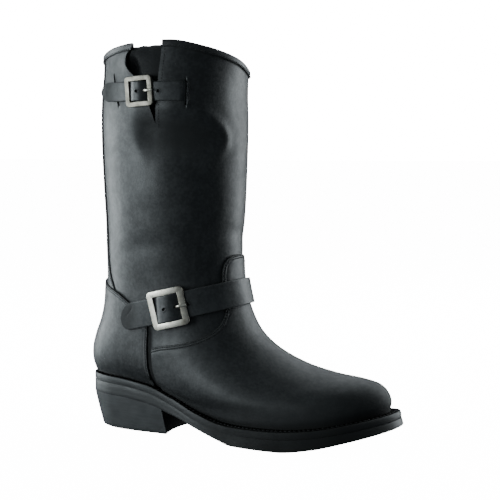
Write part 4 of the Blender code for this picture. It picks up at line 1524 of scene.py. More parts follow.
@dataclass
class Overlay:
    """A piece of leather lapped over the upper and sewn down along its edge.

    Its mesh has columns at shares along the upper edge: 0 in the middle, 1 and -1 at the ends.
    """

    name: str
    marks: tuple[Mark, ...]
    half_columns: int
    ends: Row
    even_to: float = 1.0
    sense: float = 1.0
    sewn_ends: int = 0
    foot_from: float = 0.0
    foot_power: float = 1.0
    thickness: float = OVERLAY
    # Pale cut edge with painted highlights on the ridges, and painted shadow along the free edge
    cut_edge_and_ridge_highlight: float = 0.4
    edge_shadow: float = 0.9
    foot_shade: float = 2.6
    low_shade: float = 0.0
    low_reach: float = 31.0
    low_run: Pair = (88.0, 60.0)
    clearance: float = 0.1
    end_gap: float = 0.0
    end_pull: int = 5
    rows: int = 74
    near: Row = (
        0.0, 0.12, 0.3, 0.6, 1.0, 1.3, 1.6, 1.9, 2.3, 2.7, 3.1, 3.5, 3.8, 4.1, 4.6, 5.4, 6.6, 8.0
    )

    def foot_ring(self, angle: Array) -> Array:
        """Lowest ring at which the piece still clears the welt.

        Args:
            angle: Angles in radians.

        Returns:
            Rings.
        """
        low, high = np.full(angle.shape, FORM.last - 3.0), np.full(angle.shape, FORM.last)
        for _ in range(24):
            mid = (low + high) / 2.0
            edge = FORM.skin(mid, angle, GAP + self.thickness)
            clear = edge[..., 2] > sole_top(edge[..., 0]) + self.clearance
            low, high = np.where(clear, mid, low), np.where(clear, high, mid)
        return low

    def edge_run(self, shares: Array) -> Arrays:
        """Upper edge at shares of its length.

        Args:
            shares: Shares.

        Returns:
            Angles in degrees and rings.
        """
        rows = spread(self.marks, 400)
        run = along(FORM.at_marks(rows))
        angle, z = (np.interp(shares, run / run[-1], column) for column in rows.T)
        return angle, FORM.ring_at_height(np.radians(angle), z)

    def shares(self) -> Array:
        """Shares along the edge at which the mesh has its columns, closer at the ends."""
        side = np.unique(np.r_[np.linspace(0.0, self.even_to, self.half_columns), 1.0 - np.array(self.ends)])
        return self.sense * np.r_[-side[:0:-1], side]

    def place(self, s: Array, t: Array) -> Arrays:
        """Places of the mesh.

        Args:
            s: Shares along the edge, rows by columns.
            t: Shares of the way down from it.

        Returns:
            Angles in degrees and rings.
        """
        size = np.abs(s)
        top_angle, top_ring = self.edge_run(size[0])
        foot_angle = self.foot_from + (FRONT_AT_WELT - self.foot_from) * size[0] ** self.foot_power
        foot_ring = self.foot_ring(np.radians(np.where(s[0] >= 0.0, foot_angle, -foot_angle)))
        v = top_ring + (foot_ring - top_ring) * t
        line = top_angle + (foot_angle - top_angle) * t
        end = int(np.argmax(size[0]))
        last = top_angle[end] + (foot_angle[end] - top_angle[end]) * t
        angle = line + (counter_front(v) - self.end_gap - last) * size**self.end_pull
        return np.where(s >= 0.0, angle, -angle), v

    def grid(self) -> Arrays:
        """Grid of the mesh, close along the edge and wider below it.

        Returns:
            Angles in radians and rings.
        """
        s = self.shares()
        t = np.linspace(0.0, 1.0, 40)
        angle, v = self.place(*np.broadcast_arrays(s[None], t[:, None]))
        coarse = FORM.point(v, np.radians(angle))
        near = np.array(self.near)
        rest = np.linspace(0.0, 1.0, self.rows + 1)[1:]
        shares = np.empty((len(near) + self.rows, len(s)))
        for j in range(len(s)):
            run = along(coarse[:, j])
            want = np.r_[near, near[-1] + (run[-1] - near[-1]) * rest]
            shares[:, j] = np.interp(want, run, t)
        angle, v = self.place(np.broadcast_to(s[None], shares.shape), shares)
        return np.radians(angle), v

    def edge_distance(self, base: Array) -> Array:
        """Distance from the piece's free edges.

        Args:
            base: Grid of plain points.

        Returns:
            Distances.
        """
        edges = np.vstack([base[0], base[:, 0], base[:, -1]]) if self.sewn_ends else base[0]
        tree = KDTree(len(edges))
        for i, spot in enumerate(edges):
            tree.insert(spot, i)
        tree.balance()
        return np.array([tree.find(p)[2] for p in base.reshape(-1, 3)]).reshape(base.shape[:2])

    def height(self, away: Array) -> Array:
        """Height over the leather: a rounded edge, then grooves for the stitches."""
        return GAP + self.thickness * (0.12 + 0.88 * rounded(away)) + relief_of(EDGE_GROOVES, away)

    def build(self) -> Object:
        """Mesh of the piece.

        Returns:
            The piece.
        """
        self.angle, self.v = self.grid()
        away = self.edge_distance(FORM.point(self.v, self.angle))
        self.outer = FORM.skin(self.v, self.angle, self.height(away))
        inner = FORM.skin(self.v, self.angle, GAP * 0.6)
        # Pale cut edge and a painted highlight on the ridge between the stitch rows
        pale = self.cut_edge_and_ridge_highlight * (bell(away - 0.6, 0.5) + bell(away - 2.7, 0.5))
        x, z = self.outer[..., 0], self.outer[..., 2]
        above = z - sole_top(x)
        # Painted shade near the welt, along the forefoot's lower side, along the free edge and in the stitch grooves
        dark = (
            0.96 * bell(above, self.foot_shade),
            self.low_shade * bell(above, self.low_reach) * rise(x, *self.low_run),
            self.edge_shadow * bell(away, 0.4),
            *(0.05 * bell(away - groove.at, groove.width) for groove in ROW_GROOVES),
        )
        return sheet(self.name, self.outer, inner, {"cut_edge_and_highlight": pale, "painted_shade": np.maximum.reduce(dark)})

    def grid_line(self, place: tuple[Any, Any]) -> Line:
        """Stitch line along a row or a column of the grid."""
        out = FORM.frame(self.v[place], self.angle[place])[0]
        return self.outer[place] + out * STITCH_LIFT, out

    def stitch_lines(self) -> list[Line]:
        """Lines of stitches along the edge, and along the ends where they are sewn.

        Returns:
            The lines.
        """
        rows = (int(np.argmin(np.abs(np.array(self.near) - away))) for away in STITCH_ROWS)
        keep = slice(self.sewn_ends, -self.sewn_ends or None)
        lines = [self.grid_line((row, keep)) for row in rows]
        if self.sewn_ends:
            columns = (self.sewn_ends, -self.sewn_ends - 1)
            lines += [self.grid_line((slice(12, -2), column)) for column in columns]
        return lines


@dataclass
class Vamp(Overlay):
    """Vamp over toe and sides, with the tab that runs up the instep."""

    name: str = "vamp_panel"
    marks: tuple[Mark, ...] = VAMP_EDGE
    half_columns: int = 150
    ends: Row = (0.002, 0.005, 0.010, 0.018)
    foot_power: float = 1.3
    end_gap: float = 3.5
    end_pull: int = 6
    foot_shade: float = 5.4
    low_shade: float = 0.66


@dataclass
class Counter(Overlay):
    """Counter round the heel."""

    name: str = "counter_panel"
    marks: tuple[Mark, ...] = COUNTER_EDGE
    half_columns: int = 84
    ends: Row = tuple(e / 128.0 for e in (0.0, 0.12, 0.3, 0.6, 1.0, 1.6, 2.2, 2.8, 3.6, 4.4))
    even_to: float = 1.0 - 4.4 / 128.0
    sense: float = -1.0
    sewn_ends: int = 6
    foot_from: float = 180.0
    thickness: float = OVERLAY + 0.15


class StrapPlan(NamedTuple):
    """Sizes of a strap: it lies about a plane that rises towards the front."""

    width: float
    rise_at_origin: float
    slope: float
    tip_angle: float
    end_angle: float
    buckle_angle: float
    lift: float
    over_bar: float
    reach: float


class BucklePlan(NamedTuple):
    """Sizes of a buckle: length along the strap, height across it."""

    length: float
    height: float
    bar: float
    thick: float
    corner: float
    under: float
    rod: float
    roll: float


ANKLE = StrapPlan(25.0, 105.6, 0.244, 115.5, -112.0, 73.3, 2.9, 5.3, 12.2)
TOP = StrapPlan(17.6, 318.0, 0.0, 128.5, 56.7, 91.0, 0.4, 5.1, 9.4)
ANKLE_BUCKLE = BucklePlan(35.8, 36.0, 5.8, 2.8, 4.2, 4.9, 1.3, 0.0)
TOP_BUCKLE = BucklePlan(28.0, 27.6, 4.6, 2.6, 3.6, 2.7, 1.2, 4.0)


class End(Enum):
    """How a strap's far end is finished."""

    CUT = "cut"
    INTO_SLIT = "into_slit"


@dataclass
class Strap:
    """A strap with a rounded tip, punched holes and a hump over its buckle's bar.

    Its mesh runs from the tip along the strap and from one edge to the other.
    """

    name: str
    plan: StrapPlan
    holes: Row
    end: End = End.CUT
    crease: tuple[Edge, Edge] | None = None
    tip_lift: float = 0.0
    tip_reach: float = 24.0
    # Painted shade on the tip, fading out over a run from it
    tip_shade: float = 0.6
    tip_clear: Pair = (7.0, 22.0)
    front_lift: float = 0.0
    front_at: float = -28.0
    front_wide: float = 48.0
    thickness: float = 2.2
    crown: float = 0.25
    slit_drop: float = 2.6
    slit_reach: float = 5.0
    hole_radius: float = 1.25
    hole_depth: float = 1.35
    hole_rim: Groove = Groove(0.5, 0.5, 0.18)
    hole_grid: float = 1.8
    tip_run: float = 12.0
    across: int = 21

    def __post_init__(self) -> None:
        """Measure the strap's centre line."""
        self.tilt = (1.0 + self.plan.slope**2) ** 0.5
        self.fine = np.radians(np.linspace(self.plan.tip_angle, self.plan.end_angle, 500))
        self.run = along(self.on_skin(self.fine, 0.0, 0.0))
        self.zero = float(np.interp(-np.radians(self.plan.buckle_angle), -self.fine, self.run))
        self.length = float(self.run[-1])

    def on_skin(self, angle: Array, aside: Any, lift: Any) -> Array:
        """Points beside the centre line at a height over the plain leather.

        Args:
            angle: Angles in radians.
            aside: Distances up from the centre line.
            lift: Heights.

        Returns:
            Points in millimetres.
        """
        plan, up = self.plan, aside * self.tilt
        ring = FORM.ring_where(angle, lambda p: p[..., 2] - plan.rise_at_origin - plan.slope * p[..., 0] - up)
        return FORM.skin(ring, angle, lift, share=0.0)

    def half_width(self, run: Array) -> Array:
        """Half of the strap's width, rounded at the tip."""
        radius = self.plan.width / 2.0
        return np.sqrt(np.clip(radius**2 - np.clip(radius - run, 0.0, radius) ** 2, 0.04, None))

    def low(self, run: Array) -> Array:
        """Height of the strap's under face: it rises over the buckle's bar.

        Args:
            run: Lengths from the tip.

        Returns:
            Heights.
        """
        from_bar = np.clip(np.abs(run - self.zero) / self.plan.reach, 0.0, 1.0)
        height = self.plan.lift + self.plan.over_bar * (1.0 - from_bar**2.3) ** 1.25
        height = height + self.tip_lift * np.clip(1.0 - run / self.tip_reach, 0.0, 1.0) ** 2
        turn = np.degrees(np.interp(run, self.run, self.fine))
        height = height + self.front_lift * bell(turn - self.front_at, self.front_wide)
        if self.end is End.INTO_SLIT:
            height = height - self.slit_drop * rise(run, self.length - self.slit_reach, self.slit_reach)
        return height

    def place(self, roll: float) -> Matrix:
        """Place of the buckle: X along the strap, Y up across it, Z out.

        Args:
            roll: Turn of the buckle in degrees.

        Returns:
            Matrix in metres.
        """
        angle = np.radians(self.plan.buckle_angle) + np.array([0.0, -0.05, 0.05])
        spot, ahead, behind = self.on_skin(angle, 0.0, 0.0)
        out = Vector(self.on_skin(angle, 0.0, 1.0)[0] - spot).normalized()
        step = Vector(ahead - behind)
        run = (step - out * step.dot(out)).normalized()
        axes = Matrix((run, out.cross(run), out)).transposed().to_4x4()
        return Matrix.Translation(Vector(spot) * MM) @ axes @ Matrix.Rotation(np.radians(roll), 4, "Z")

    def grid(self) -> Arrays:
        """Rows and columns of the mesh, closer at the tip, the edges and the holes.

        Returns:
            Lengths from the tip, and shares of the half width.
        """
        close = np.linspace(-self.hole_grid, self.hole_grid, 13)
        tip = self.tip_run * (1.0 - np.cos(np.linspace(0.0, np.pi / 2.0, 24)))
        body = np.linspace(self.tip_run, self.length, int(self.length / 1.1))[1:]
        holes = [self.zero + hole + offset for hole in self.holes for offset in close]
        edge = np.array([0.0, 0.02, 0.05, 0.09, 0.14])
        middle = np.linspace(-0.82, 0.82, self.across)
        widths = np.r_[-1.0 + edge, 1.0 - edge, middle, close / (self.plan.width / 2.0)]
        runs = np.r_[tip, body, holes]
        return np.unique(np.round(runs, 3)), np.unique(np.round(widths, 4))

    def crease_line(self, run: Array, aside: Array) -> Any:
        """Share of the fold near the tip, where the strap has one.

        Args:
            run: Lengths from the tip.
            aside: Distances from the centre line.

        Returns:
            Shares.
        """
        if not self.crease:
            return 0.0
        start, stop = (np.array(corner) for corner in self.crease)
        way, spot = stop - start, np.stack([run, aside], -1) - start
        share = np.clip(spot @ way / np.sum(way**2), 0.0, 1.0)
        gap = np.linalg.norm(spot - share[..., None] * way, axis=-1)
        return np.sin(np.pi * (0.15 + 0.7 * share)) * bell(gap, 0.7)

    def build(self) -> Object:
        """Mesh of the strap.

        Returns:
            The piece.
        """
        runs, widths = self.grid()
        run, width = np.broadcast_arrays(runs[:, None], widths[None])
        half = self.half_width(run)
        aside = half * width
        angle = np.interp(run, self.run, self.fine)
        away = half - np.abs(aside)
        low, fold = self.low(run), self.crease_line(run, aside)
        top = low + self.thickness * (0.55 + 0.45 * rounded(away)) + self.crown * (1.0 - width**2)
        pit = np.zeros(run.shape)
        for hole in self.holes:
            gap = np.hypot(run - self.zero - hole, aside) - self.hole_radius
            pit = np.maximum(pit, jump(-gap, 0.10))
            top = top + relief_of([self.hole_rim], gap)
        top = top - 0.3 * fold - pit * self.hole_depth
        # Painted shade in the holes, along the crease and on the tip
        tip = self.tip_shade * (1.0 - rise(run, *self.tip_clear))
        values = {"cut_edge_and_highlight": 0.22 * bell(away, 0.5), "painted_shade": np.maximum(np.maximum(pit, 0.9 * fold), tip)}
        outer, inner = self.on_skin(angle, aside, top), self.on_skin(angle, aside, low)
        return sheet(self.name, outer, inner, values, merge=2e-6)


@dataclass
class Buckle:
    """Square buckle: frame with soft edges, centre bar and prong."""

    name: str
    plan: BucklePlan
    strap: Strap
    # Share of the dark tone over the whole buckle and over its front bar: painted shade with some tarnish
    tarnish_and_shade: float = 0.0
    front_bar_shade: float = 0.72
    soft_edge: float = 0.2
    bend: float = 75.0
    loop_gap: float = 0.5
    loop_half: float = 0.45
    prong_width: float = 3.1
    tongue_half: Pair = (0.95, 0.72)
    tongue_wide: Pair = (1.5, 1.15)
    tongue_tip: Row = (1.05, 0.85, 0.5)
    loop_steps: int = 20
    tongue_steps: int = 40
    around: int = 16

    def frame_tree(self) -> GeometryTree:
        """Tree of the frame: a soft section carried round a rounded square.

        Returns:
            The tree.
        """
        sizes = ("Length", "Height", "Bar", "Thickness", "Corner", "Soft")
        tree = GeometryTree(self.name + "_frame_rule", sizes, "Metal")

        def square(width: Wire, height: Wire, corner: Wire, steps: int) -> Wire:
            """Square with rounded corners.

            Args:
                width: Size along the first axis.
                height: Size along the second axis.
                corner: Radius of the corners.
                steps: Points on each corner.

            Returns:
                The curve.
            """
            path = {"Width": width, "Height": height}
            path = tree.node("GeometryNodeCurvePrimitiveQuadrilateral", {"mode": "RECTANGLE"}, path)
            bend = {"Curve": path, "Count": steps, "Radius": corner}
            return tree.node("GeometryNodeFilletCurve", {"mode": "POLY"}, bend)

        length, height, bar, thickness, corner, soft = (tree.given(size) for size in sizes)
        path = square(length - bar, height - bar, corner - bar * 0.5, 10)
        path = tree.node("GeometryNodeResampleCurve", {"mode": "COUNT"}, {"Curve": path, "Count": 200})
        path = tree.node("GeometryNodeSetCurveNormal", {"mode": "Z_UP"}, {"Curve": path})
        section = square(bar, thickness, soft, 5)
        tree.close(tree.node("GeometryNodeCurveToMesh", None, {"Curve": path, "Profile Curve": section}))
        return tree

    def build_frame(self) -> Object:
        """Frame with its centre bar.

        Returns:
            The piece.
        """
        plan = self.plan
        guide = guide_mesh(self.name, [(np.zeros((1, 3)), np.array([[0.0, 0.0, 1.0]]))], joined=False)
        sizes = {"Length": plan.length, "Height": plan.height, "Bar": plan.bar, "Thickness": plan.thick}
        sizes |= {"Corner": plan.corner, "Soft": plan.thick * self.soft_edge}
        made = self.frame_tree().run(self.name, guide, sizes, Metal=look(NICKEL))
        bm = bmesh.new()
        bm.from_mesh(made.data)
        bmesh.ops.remove_doubles(bm, verts=bm.verts, dist=1e-6)
        bmesh.ops.recalc_face_normals(bm, faces=bm.faces)
        across = Matrix.Rotation(np.pi / 2.0, 4, "X")
        rod = {"radius1": plan.rod * MM, "radius2": plan.rod * MM, "depth": (plan.height - plan.bar) * MM}
        bmesh.ops.create_cone(bm, cap_ends=True, segments=20, matrix=across, **rod)
        for face in bm.faces:
            face.smooth = True
        for vert in bm.verts:
            vert.co.z += (plan.under + plan.thick / 2.0) * MM - self.drop(vert.co.x / MM) * MM
        ahead = np.array([vert.co.x for vert in bm.verts]) / (plan.length * MM / 2.0)
        bm.transform(self.strap.place(plan.roll))
        bm.to_mesh(made.data)
        bm.free()
        # Painted shade with some tarnish: the front bar darker than the rest
        store(made.data, "tarnish_and_shade", np.maximum(self.tarnish_and_shade, self.front_bar_shade * rise(ahead, 0.5, 0.3)))
        sharpen(made.data, 50.0)
        return made

    def drop(self, x: Any) -> Any:
        """How far the bent frame falls back at a distance from its middle."""
        return x**2 / (2.0 * self.bend)

    def prong_path(self) -> Array:
        """Middle line of the prong, from its loop on the bar to its tip.

        Returns:
            Points along the strap and out from it.
        """
        plan = self.plan
        middle, top = plan.under + plan.thick / 2.0, plan.under + plan.thick
        loop = np.radians(np.linspace(-40.0, 300.0, self.loop_steps))
        radius = plan.rod + self.loop_gap
        ring = np.stack([-radius * np.cos(loop), middle + radius * np.sin(loop)], 1)[::-1]
        reach = plan.length / 2.0
        inside = reach - plan.bar
        rows = (
            (radius + 1.6, middle + 0.2),
            (inside - 4.2, middle + 0.5),
            (inside - 2.2, top + 0.3),
            (inside - 0.4, top + 1.15),
            (inside + plan.bar * 0.5, top + 1.0),
            (reach - 0.2, top + 0.85),
            (reach + 0.5, top + 0.55),
        )
        tongue = spread(rows, self.tongue_steps)
        tongue[:, 1] -= self.drop(tongue[:, 0])
        return np.vstack([ring, tongue])

    def build_prong(self) -> Object:
        """Prong swept along its line.

        Returns:
            The piece.
        """
        line = self.prong_path()
        run = unit(np.gradient(line, axis=0))
        loop = np.ones(self.loop_steps)
        thick = np.r_[self.loop_half * loop, np.linspace(*self.tongue_half, self.tongue_steps)]
        slim = np.linspace(*self.tongue_wide, self.tongue_steps - len(self.tongue_tip))
        wide = np.r_[self.prong_width / 2.0 * loop, slim, self.tongue_tip]
        turn = np.linspace(0.0, 2.0 * np.pi, self.around, endpoint=False)
        out, y = (np.sign(part) * np.abs(part) ** 0.8 for part in (np.sin(turn), np.cos(turn)))
        out, y = thick[:, None] * out, wide[:, None] * y
        points = np.stack([line[:, :1] - run[:, 1:] * out, y, line[:, 1:] + run[:, :1] * out], -1)
        faces = tube_faces(len(line), self.around)
        made = solid(self.name.replace("frame", "prong"), points.reshape(-1, 3), faces, merge=0.0)
        made.data.transform(self.strap.place(self.plan.roll))
        return made


class Fade(Enum):
    """Where along the foot a rounding of the sole's section dies out, as start and length."""

    NONE = (-200.0, 1.0)
    LAYERS = (112.0, 48.0)
    HEEL = (57.0, 9.0)
    RECESS = (66.0, 8.0)

    def amount(self, x: Array) -> Array:
        """Share of the rounding at a place along the foot."""
        return 0.05 + 0.95 * rise(x, *self.value)


class RimPoint(NamedTuple):
    """Point of a sole layer's section.

    set_in is measured from the plan's edge in millimetres, in_ledge adds a share of the ledge,
    share goes from the layer's under face to its top, climb is added to the height, toe_out
    moves the point outwards at the toe and fade is where the rounding dies out.
    """

    set_in: float
    in_ledge: float
    share: float
    climb: float
    toe_out: float = 0.0
    fade: Fade = Fade.NONE


WELT_SECTION = table(
    RimPoint,
    (16, 0, 1, -0.9), (0, 1.05, 1, -1.5), (0, 0.90, 1, -1.6), (0, 0.72, 1, -0.9),
    (0, 0.52, 1, -0.2), (0, 0.30, 1, 0.1), (0.9, 0, 1, 0.1, -0.9), (0.3, 0, 1, -0.25, -0.8),
    (0, 0, 1, -0.95, -0.6), (-0.12, 0, 0.55, 0, -0.2), (0, 0, 0, 0.34, 0, Fade.LAYERS),
    (0.07, 0, 0, 0.14, 0, Fade.LAYERS), (0.25, 0, 0, 0.03, 0, Fade.LAYERS), (16, 0, 0, 0),
)
OUTSOLE_SECTION = table(
    RimPoint,
    (16, 0, 1, 0), (0.28, 0, 1, 0, 0, Fade.LAYERS), (0.10, 0, 1, -0.1, 0, Fade.LAYERS),
    (0, 0, 1, -0.3, 0.05, Fade.LAYERS), (-0.2, 0, 0.6, 0, 0.5, Fade.LAYERS),
    (-0.25, 0, 0.25, 0, 0.9, Fade.LAYERS), (-0.1, 0, 0, 1.2, 1.1, Fade.HEEL),
    (0.35, 0, 0, 0.35, 1, Fade.HEEL), (1.2, 0, 0, 0, 0.8, Fade.HEEL), (5, 0, 0, 0, 0.2),
    (5.6, 0, 0, 0.9, 0, Fade.RECESS), (16, 0, 0, 0.9, 0, Fade.RECESS),
)
INSOLE_SECTION = table(
    RimPoint,
    (18, 0, 1, -0.7), (5.5, 1, 1, 0), (4.9, 1, 1, -0.3), (4.7, 1, 0.5, 0), (4.9, 1, 0, 0.2),
    (18, 0, 0, 0.2),
)


def welt_foot(x: Array) -> Array:
    """Height of the welt's under face: it closes on the outsole behind the ball."""
    return sole_top(x) - MIDSOLE - GAP * (1.0 - 0.4 * Fade.LAYERS.amount(x))


@dataclass
class SoleLayer:
    """A layer of the sole: a section carried round the plan and closed across it."""

    name: str
    section: tuple[RimPoint, ...]
    top: Callable[[Array], Array]
    bottom: Callable[[Array], Array]
    stations: int = 150
    toe_from: float = 205.0
    toe_length: float = 50.0
    toe_reach: float = 1.6

    def loop(self) -> Arrays:
        """Plan of the layer, from the toe along the outer side.

        Returns:
            Points and their inward directions.
        """
        base = closed_curve(OUTLINE, 40)
        ring = np.vstack([base, base[:1]])
        run = along(ring)
        count = 2 * self.stations
        want = (run[int(base[:, 0].argmax())] - np.arange(count) * run[-1] / count) % run[-1]
        points = np.stack([np.interp(want, run, column) for column in ring.T], 1)
        return points, -inward(points)

    def build(self) -> Object:
        """Mesh of the layer.

        Returns:
            The piece.
        """
        points, way = self.loop()
        x, count = points[:, 0], len(points)
        toe = self.toe_reach * rise(x, self.toe_from, self.toe_length)
        rows = []
        for spot in self.section:
            fade = spot.fade.amount(x)
            inset = spot.set_in * (1.0 if spot.fade is Fade.RECESS else fade)
            inset = inset + spot.in_ledge * ledge(x) - spot.toe_out * toe
            place = points + way * inset[:, None]
            high, low = self.top(place[:, 0]), self.bottom(place[:, 0])
            rows.append(np.column_stack([place, low + (high - low) * spot.share + spot.climb * fade]))
        faces = grid_faces(len(rows), count, round_closed=True).tolist()
        for start in (0, (len(rows) - 1) * count):
            faces += cross_faces(start, count, self.stations)
        return solid(self.name, np.vstack(rows), faces, merge=0.0, crease=38.0)


@dataclass
class HeelBlock:
    """Heel: sloped back and sides, a hollowed breast and a rubber foot with a worn rim."""

    breast_top: float = 51.0
    breast_floor: float = 54.0
    breast_facing: float = 0.6
    breast_foot: float = 1.0
    hollow: float = 5.0
    taper_back: float = 8.0
    taper_side: float = 4.5
    start: float = 0.05
    rim_in: float = 5.0
    recess: float = 0.9
    worn_from: float = 0.955
    around: int = 64
    across: int = 18
    levels: Row = (0.0, 0.02, 0.06, 0.15, 0.3, 0.45, 0.6, 0.75, 0.88, 0.955, 0.985, 1.0)

    def taper(self, x: Array) -> Array:
        """How far the heel's foot stands in from the sole's edge."""
        return self.taper_back + (self.taper_side - self.taper_back) * rise(x, -37.0, 60.0)

    def level(self, t: float, inset: float) -> Array:
        """Loop of the heel at a level.

        Args:
            t: Share of the way down.
            inset: How far the loop stands in.

        Returns:
            Points.
        """
        plan = Plan(lambda x: self.start + inset + (self.taper(x) - self.start) * t**1.12)
        breast = self.breast_top + (self.breast_floor - self.breast_top) * t - inset
        share = np.sin(np.linspace(0.0, 1.0, self.around) * np.pi / 2.0) ** 1.6
        x = plan.back + (breast - plan.back) * share
        outer, inner = (np.stack([x, y], 1) for y in plan.sides(x))
        outer[0, 1] = inner[0, 1] = 0.5 * (outer[0, 1] + inner[0, 1])
        w = np.linspace(0.0, 1.0, self.across + 2)[1:-1, None]
        front = outer[-1] + (inner[-1] - outer[-1]) * w
        front[:, 0] -= self.hollow * (1.0 - (2.0 * w[:, 0] - 1.0) ** 2)
        loop = np.vstack([outer, front, inner[:0:-1]])
        return np.column_stack([loop, sole_bottom(loop[:, 0]) * (1.0 - t)])

    def build(self) -> Object:
        """Mesh of the heel.

        Returns:
            The piece.
        """
        worn = (max(0.0, (t - self.worn_from) / (1.0 - self.worn_from)) ** 2 for t in self.levels)
        loops = [self.level(t, inset) for t, inset in zip(self.levels, worn)]
        floor = self.level(1.0, self.rim_in)
        loops += [floor, floor + np.array([0.0, 0.0, self.recess])]
        count = len(floor)
        faces = grid_faces(len(loops), count, round_closed=True).tolist()
        for start in (0, (len(loops) - 1) * count):
            last = start + self.around - 1
            faces += [*cross_faces(start, count, self.around - 1), [last + k for k in range(self.across + 2)]]
        made = solid("heel_block", np.vstack(loops), faces, merge=0.0, crease=32.0)
        # Faces of the breast take the second slot: painted shade
        for face in made.data.polygons:
            face.material_index = int(face.normal.x > self.breast_facing and face.center.z > self.breast_foot * MM)
        return made


@dataclass
class Tread:
    """Low round studs under forefoot and heel, level with the rim."""

    pitch: float = 9.0
    radius: float = 3.0
    draft: float = 0.86
    height: float = 0.9
    front_in: float = 10.5
    heel_in: float = 15.5
    heel_end: float = 44.0
    waist_end: float = 82.0
    reach: Pair = (-24.0, 262.0)
    half_width: float = 63.0

    def spots(self) -> Line:
        """Places of the studs and the way they point.

        Returns:
            Places and directions.
        """
        front, rear = Plan(lambda x: self.front_in), Plan(lambda x: self.heel_in)
        places, outs = [], []
        for i, x in enumerate(np.arange(*self.reach, self.pitch * 0.866)):
            heel = x < self.heel_end
            plan = rear if heel else front
            if self.heel_end <= x < self.waist_end or not plan.back < x < plan.front:
                continue
            slope = 0.0 if heel else float(sole_bottom(x + 0.5) - sole_bottom(x - 0.5))
            base = 0.0 if heel else float(sole_bottom(x))
            outer, inner = plan.sides(x)
            for y in np.arange(-self.half_width, self.half_width, self.pitch) + (self.pitch / 2.0) * (i % 2):
                if outer < y < inner:
                    places.append((x, y, base + self.height / 2.0))
                    outs.append((slope, 0.0, -1.0))
        return np.array(places), unit(np.array(outs))

    def build(self) -> Object:
        """Studs set by a tree on their places.

        Returns:
            The piece.
        """
        tree = GeometryTree("tread_studs", ("Radius", "Depth"), "Rubber")
        radius, depth = tree.given("Radius"), tree.given("Depth")
        cone = {"Vertices": 10, "Radius Top": radius * self.draft, "Radius Bottom": radius, "Depth": depth}
        down = {"Geometry": tree.node("GeometryNodeMeshCone", None, cone)}
        down["Translation"] = (0.0, 0.0, -0.5 * self.height * MM)
        stud = tree.node("GeometryNodeTransform", None, down)
        turn = tree.node("FunctionNodeAlignRotationToVector", {"axis": "Z"}, {"Vector": tree.skin_out()})
        inputs = {"Points": tree.given("Geometry"), "Instance": stud, "Rotation": turn}
        tree.close(tree.node("GeometryNodeInstanceOnPoints", None, inputs))
        guide = guide_mesh("tread_studs", [self.spots()], joined=False)
        sizes = {"Radius": self.radius, "Depth": self.height}
        made = tree.run("tread_studs", guide, sizes, Rubber=look(OUTSOLE_RUBBER))
        sharpen(made.data, 40.0)
        return made


def welt_line() -> Line:
    """Line of the welt's stitches from the outer waist round the toe to the inner waist.

    Returns:
        The line.
    """
    base = closed_curve(OUTLINE, 40)
    spots = base + inward(base) * (WELT_ROW_SHARE * ledge(base[:, 0]))[:, None]
    keep = spots[spots[:, 0] > WELT_ROW_FROM]
    points = np.column_stack([keep, sole_top(keep[:, 0]) + WELT_ROW_LIFT])
    return points, np.tile(np.array([0.0, 0.0, 1.0]), (len(points), 1))


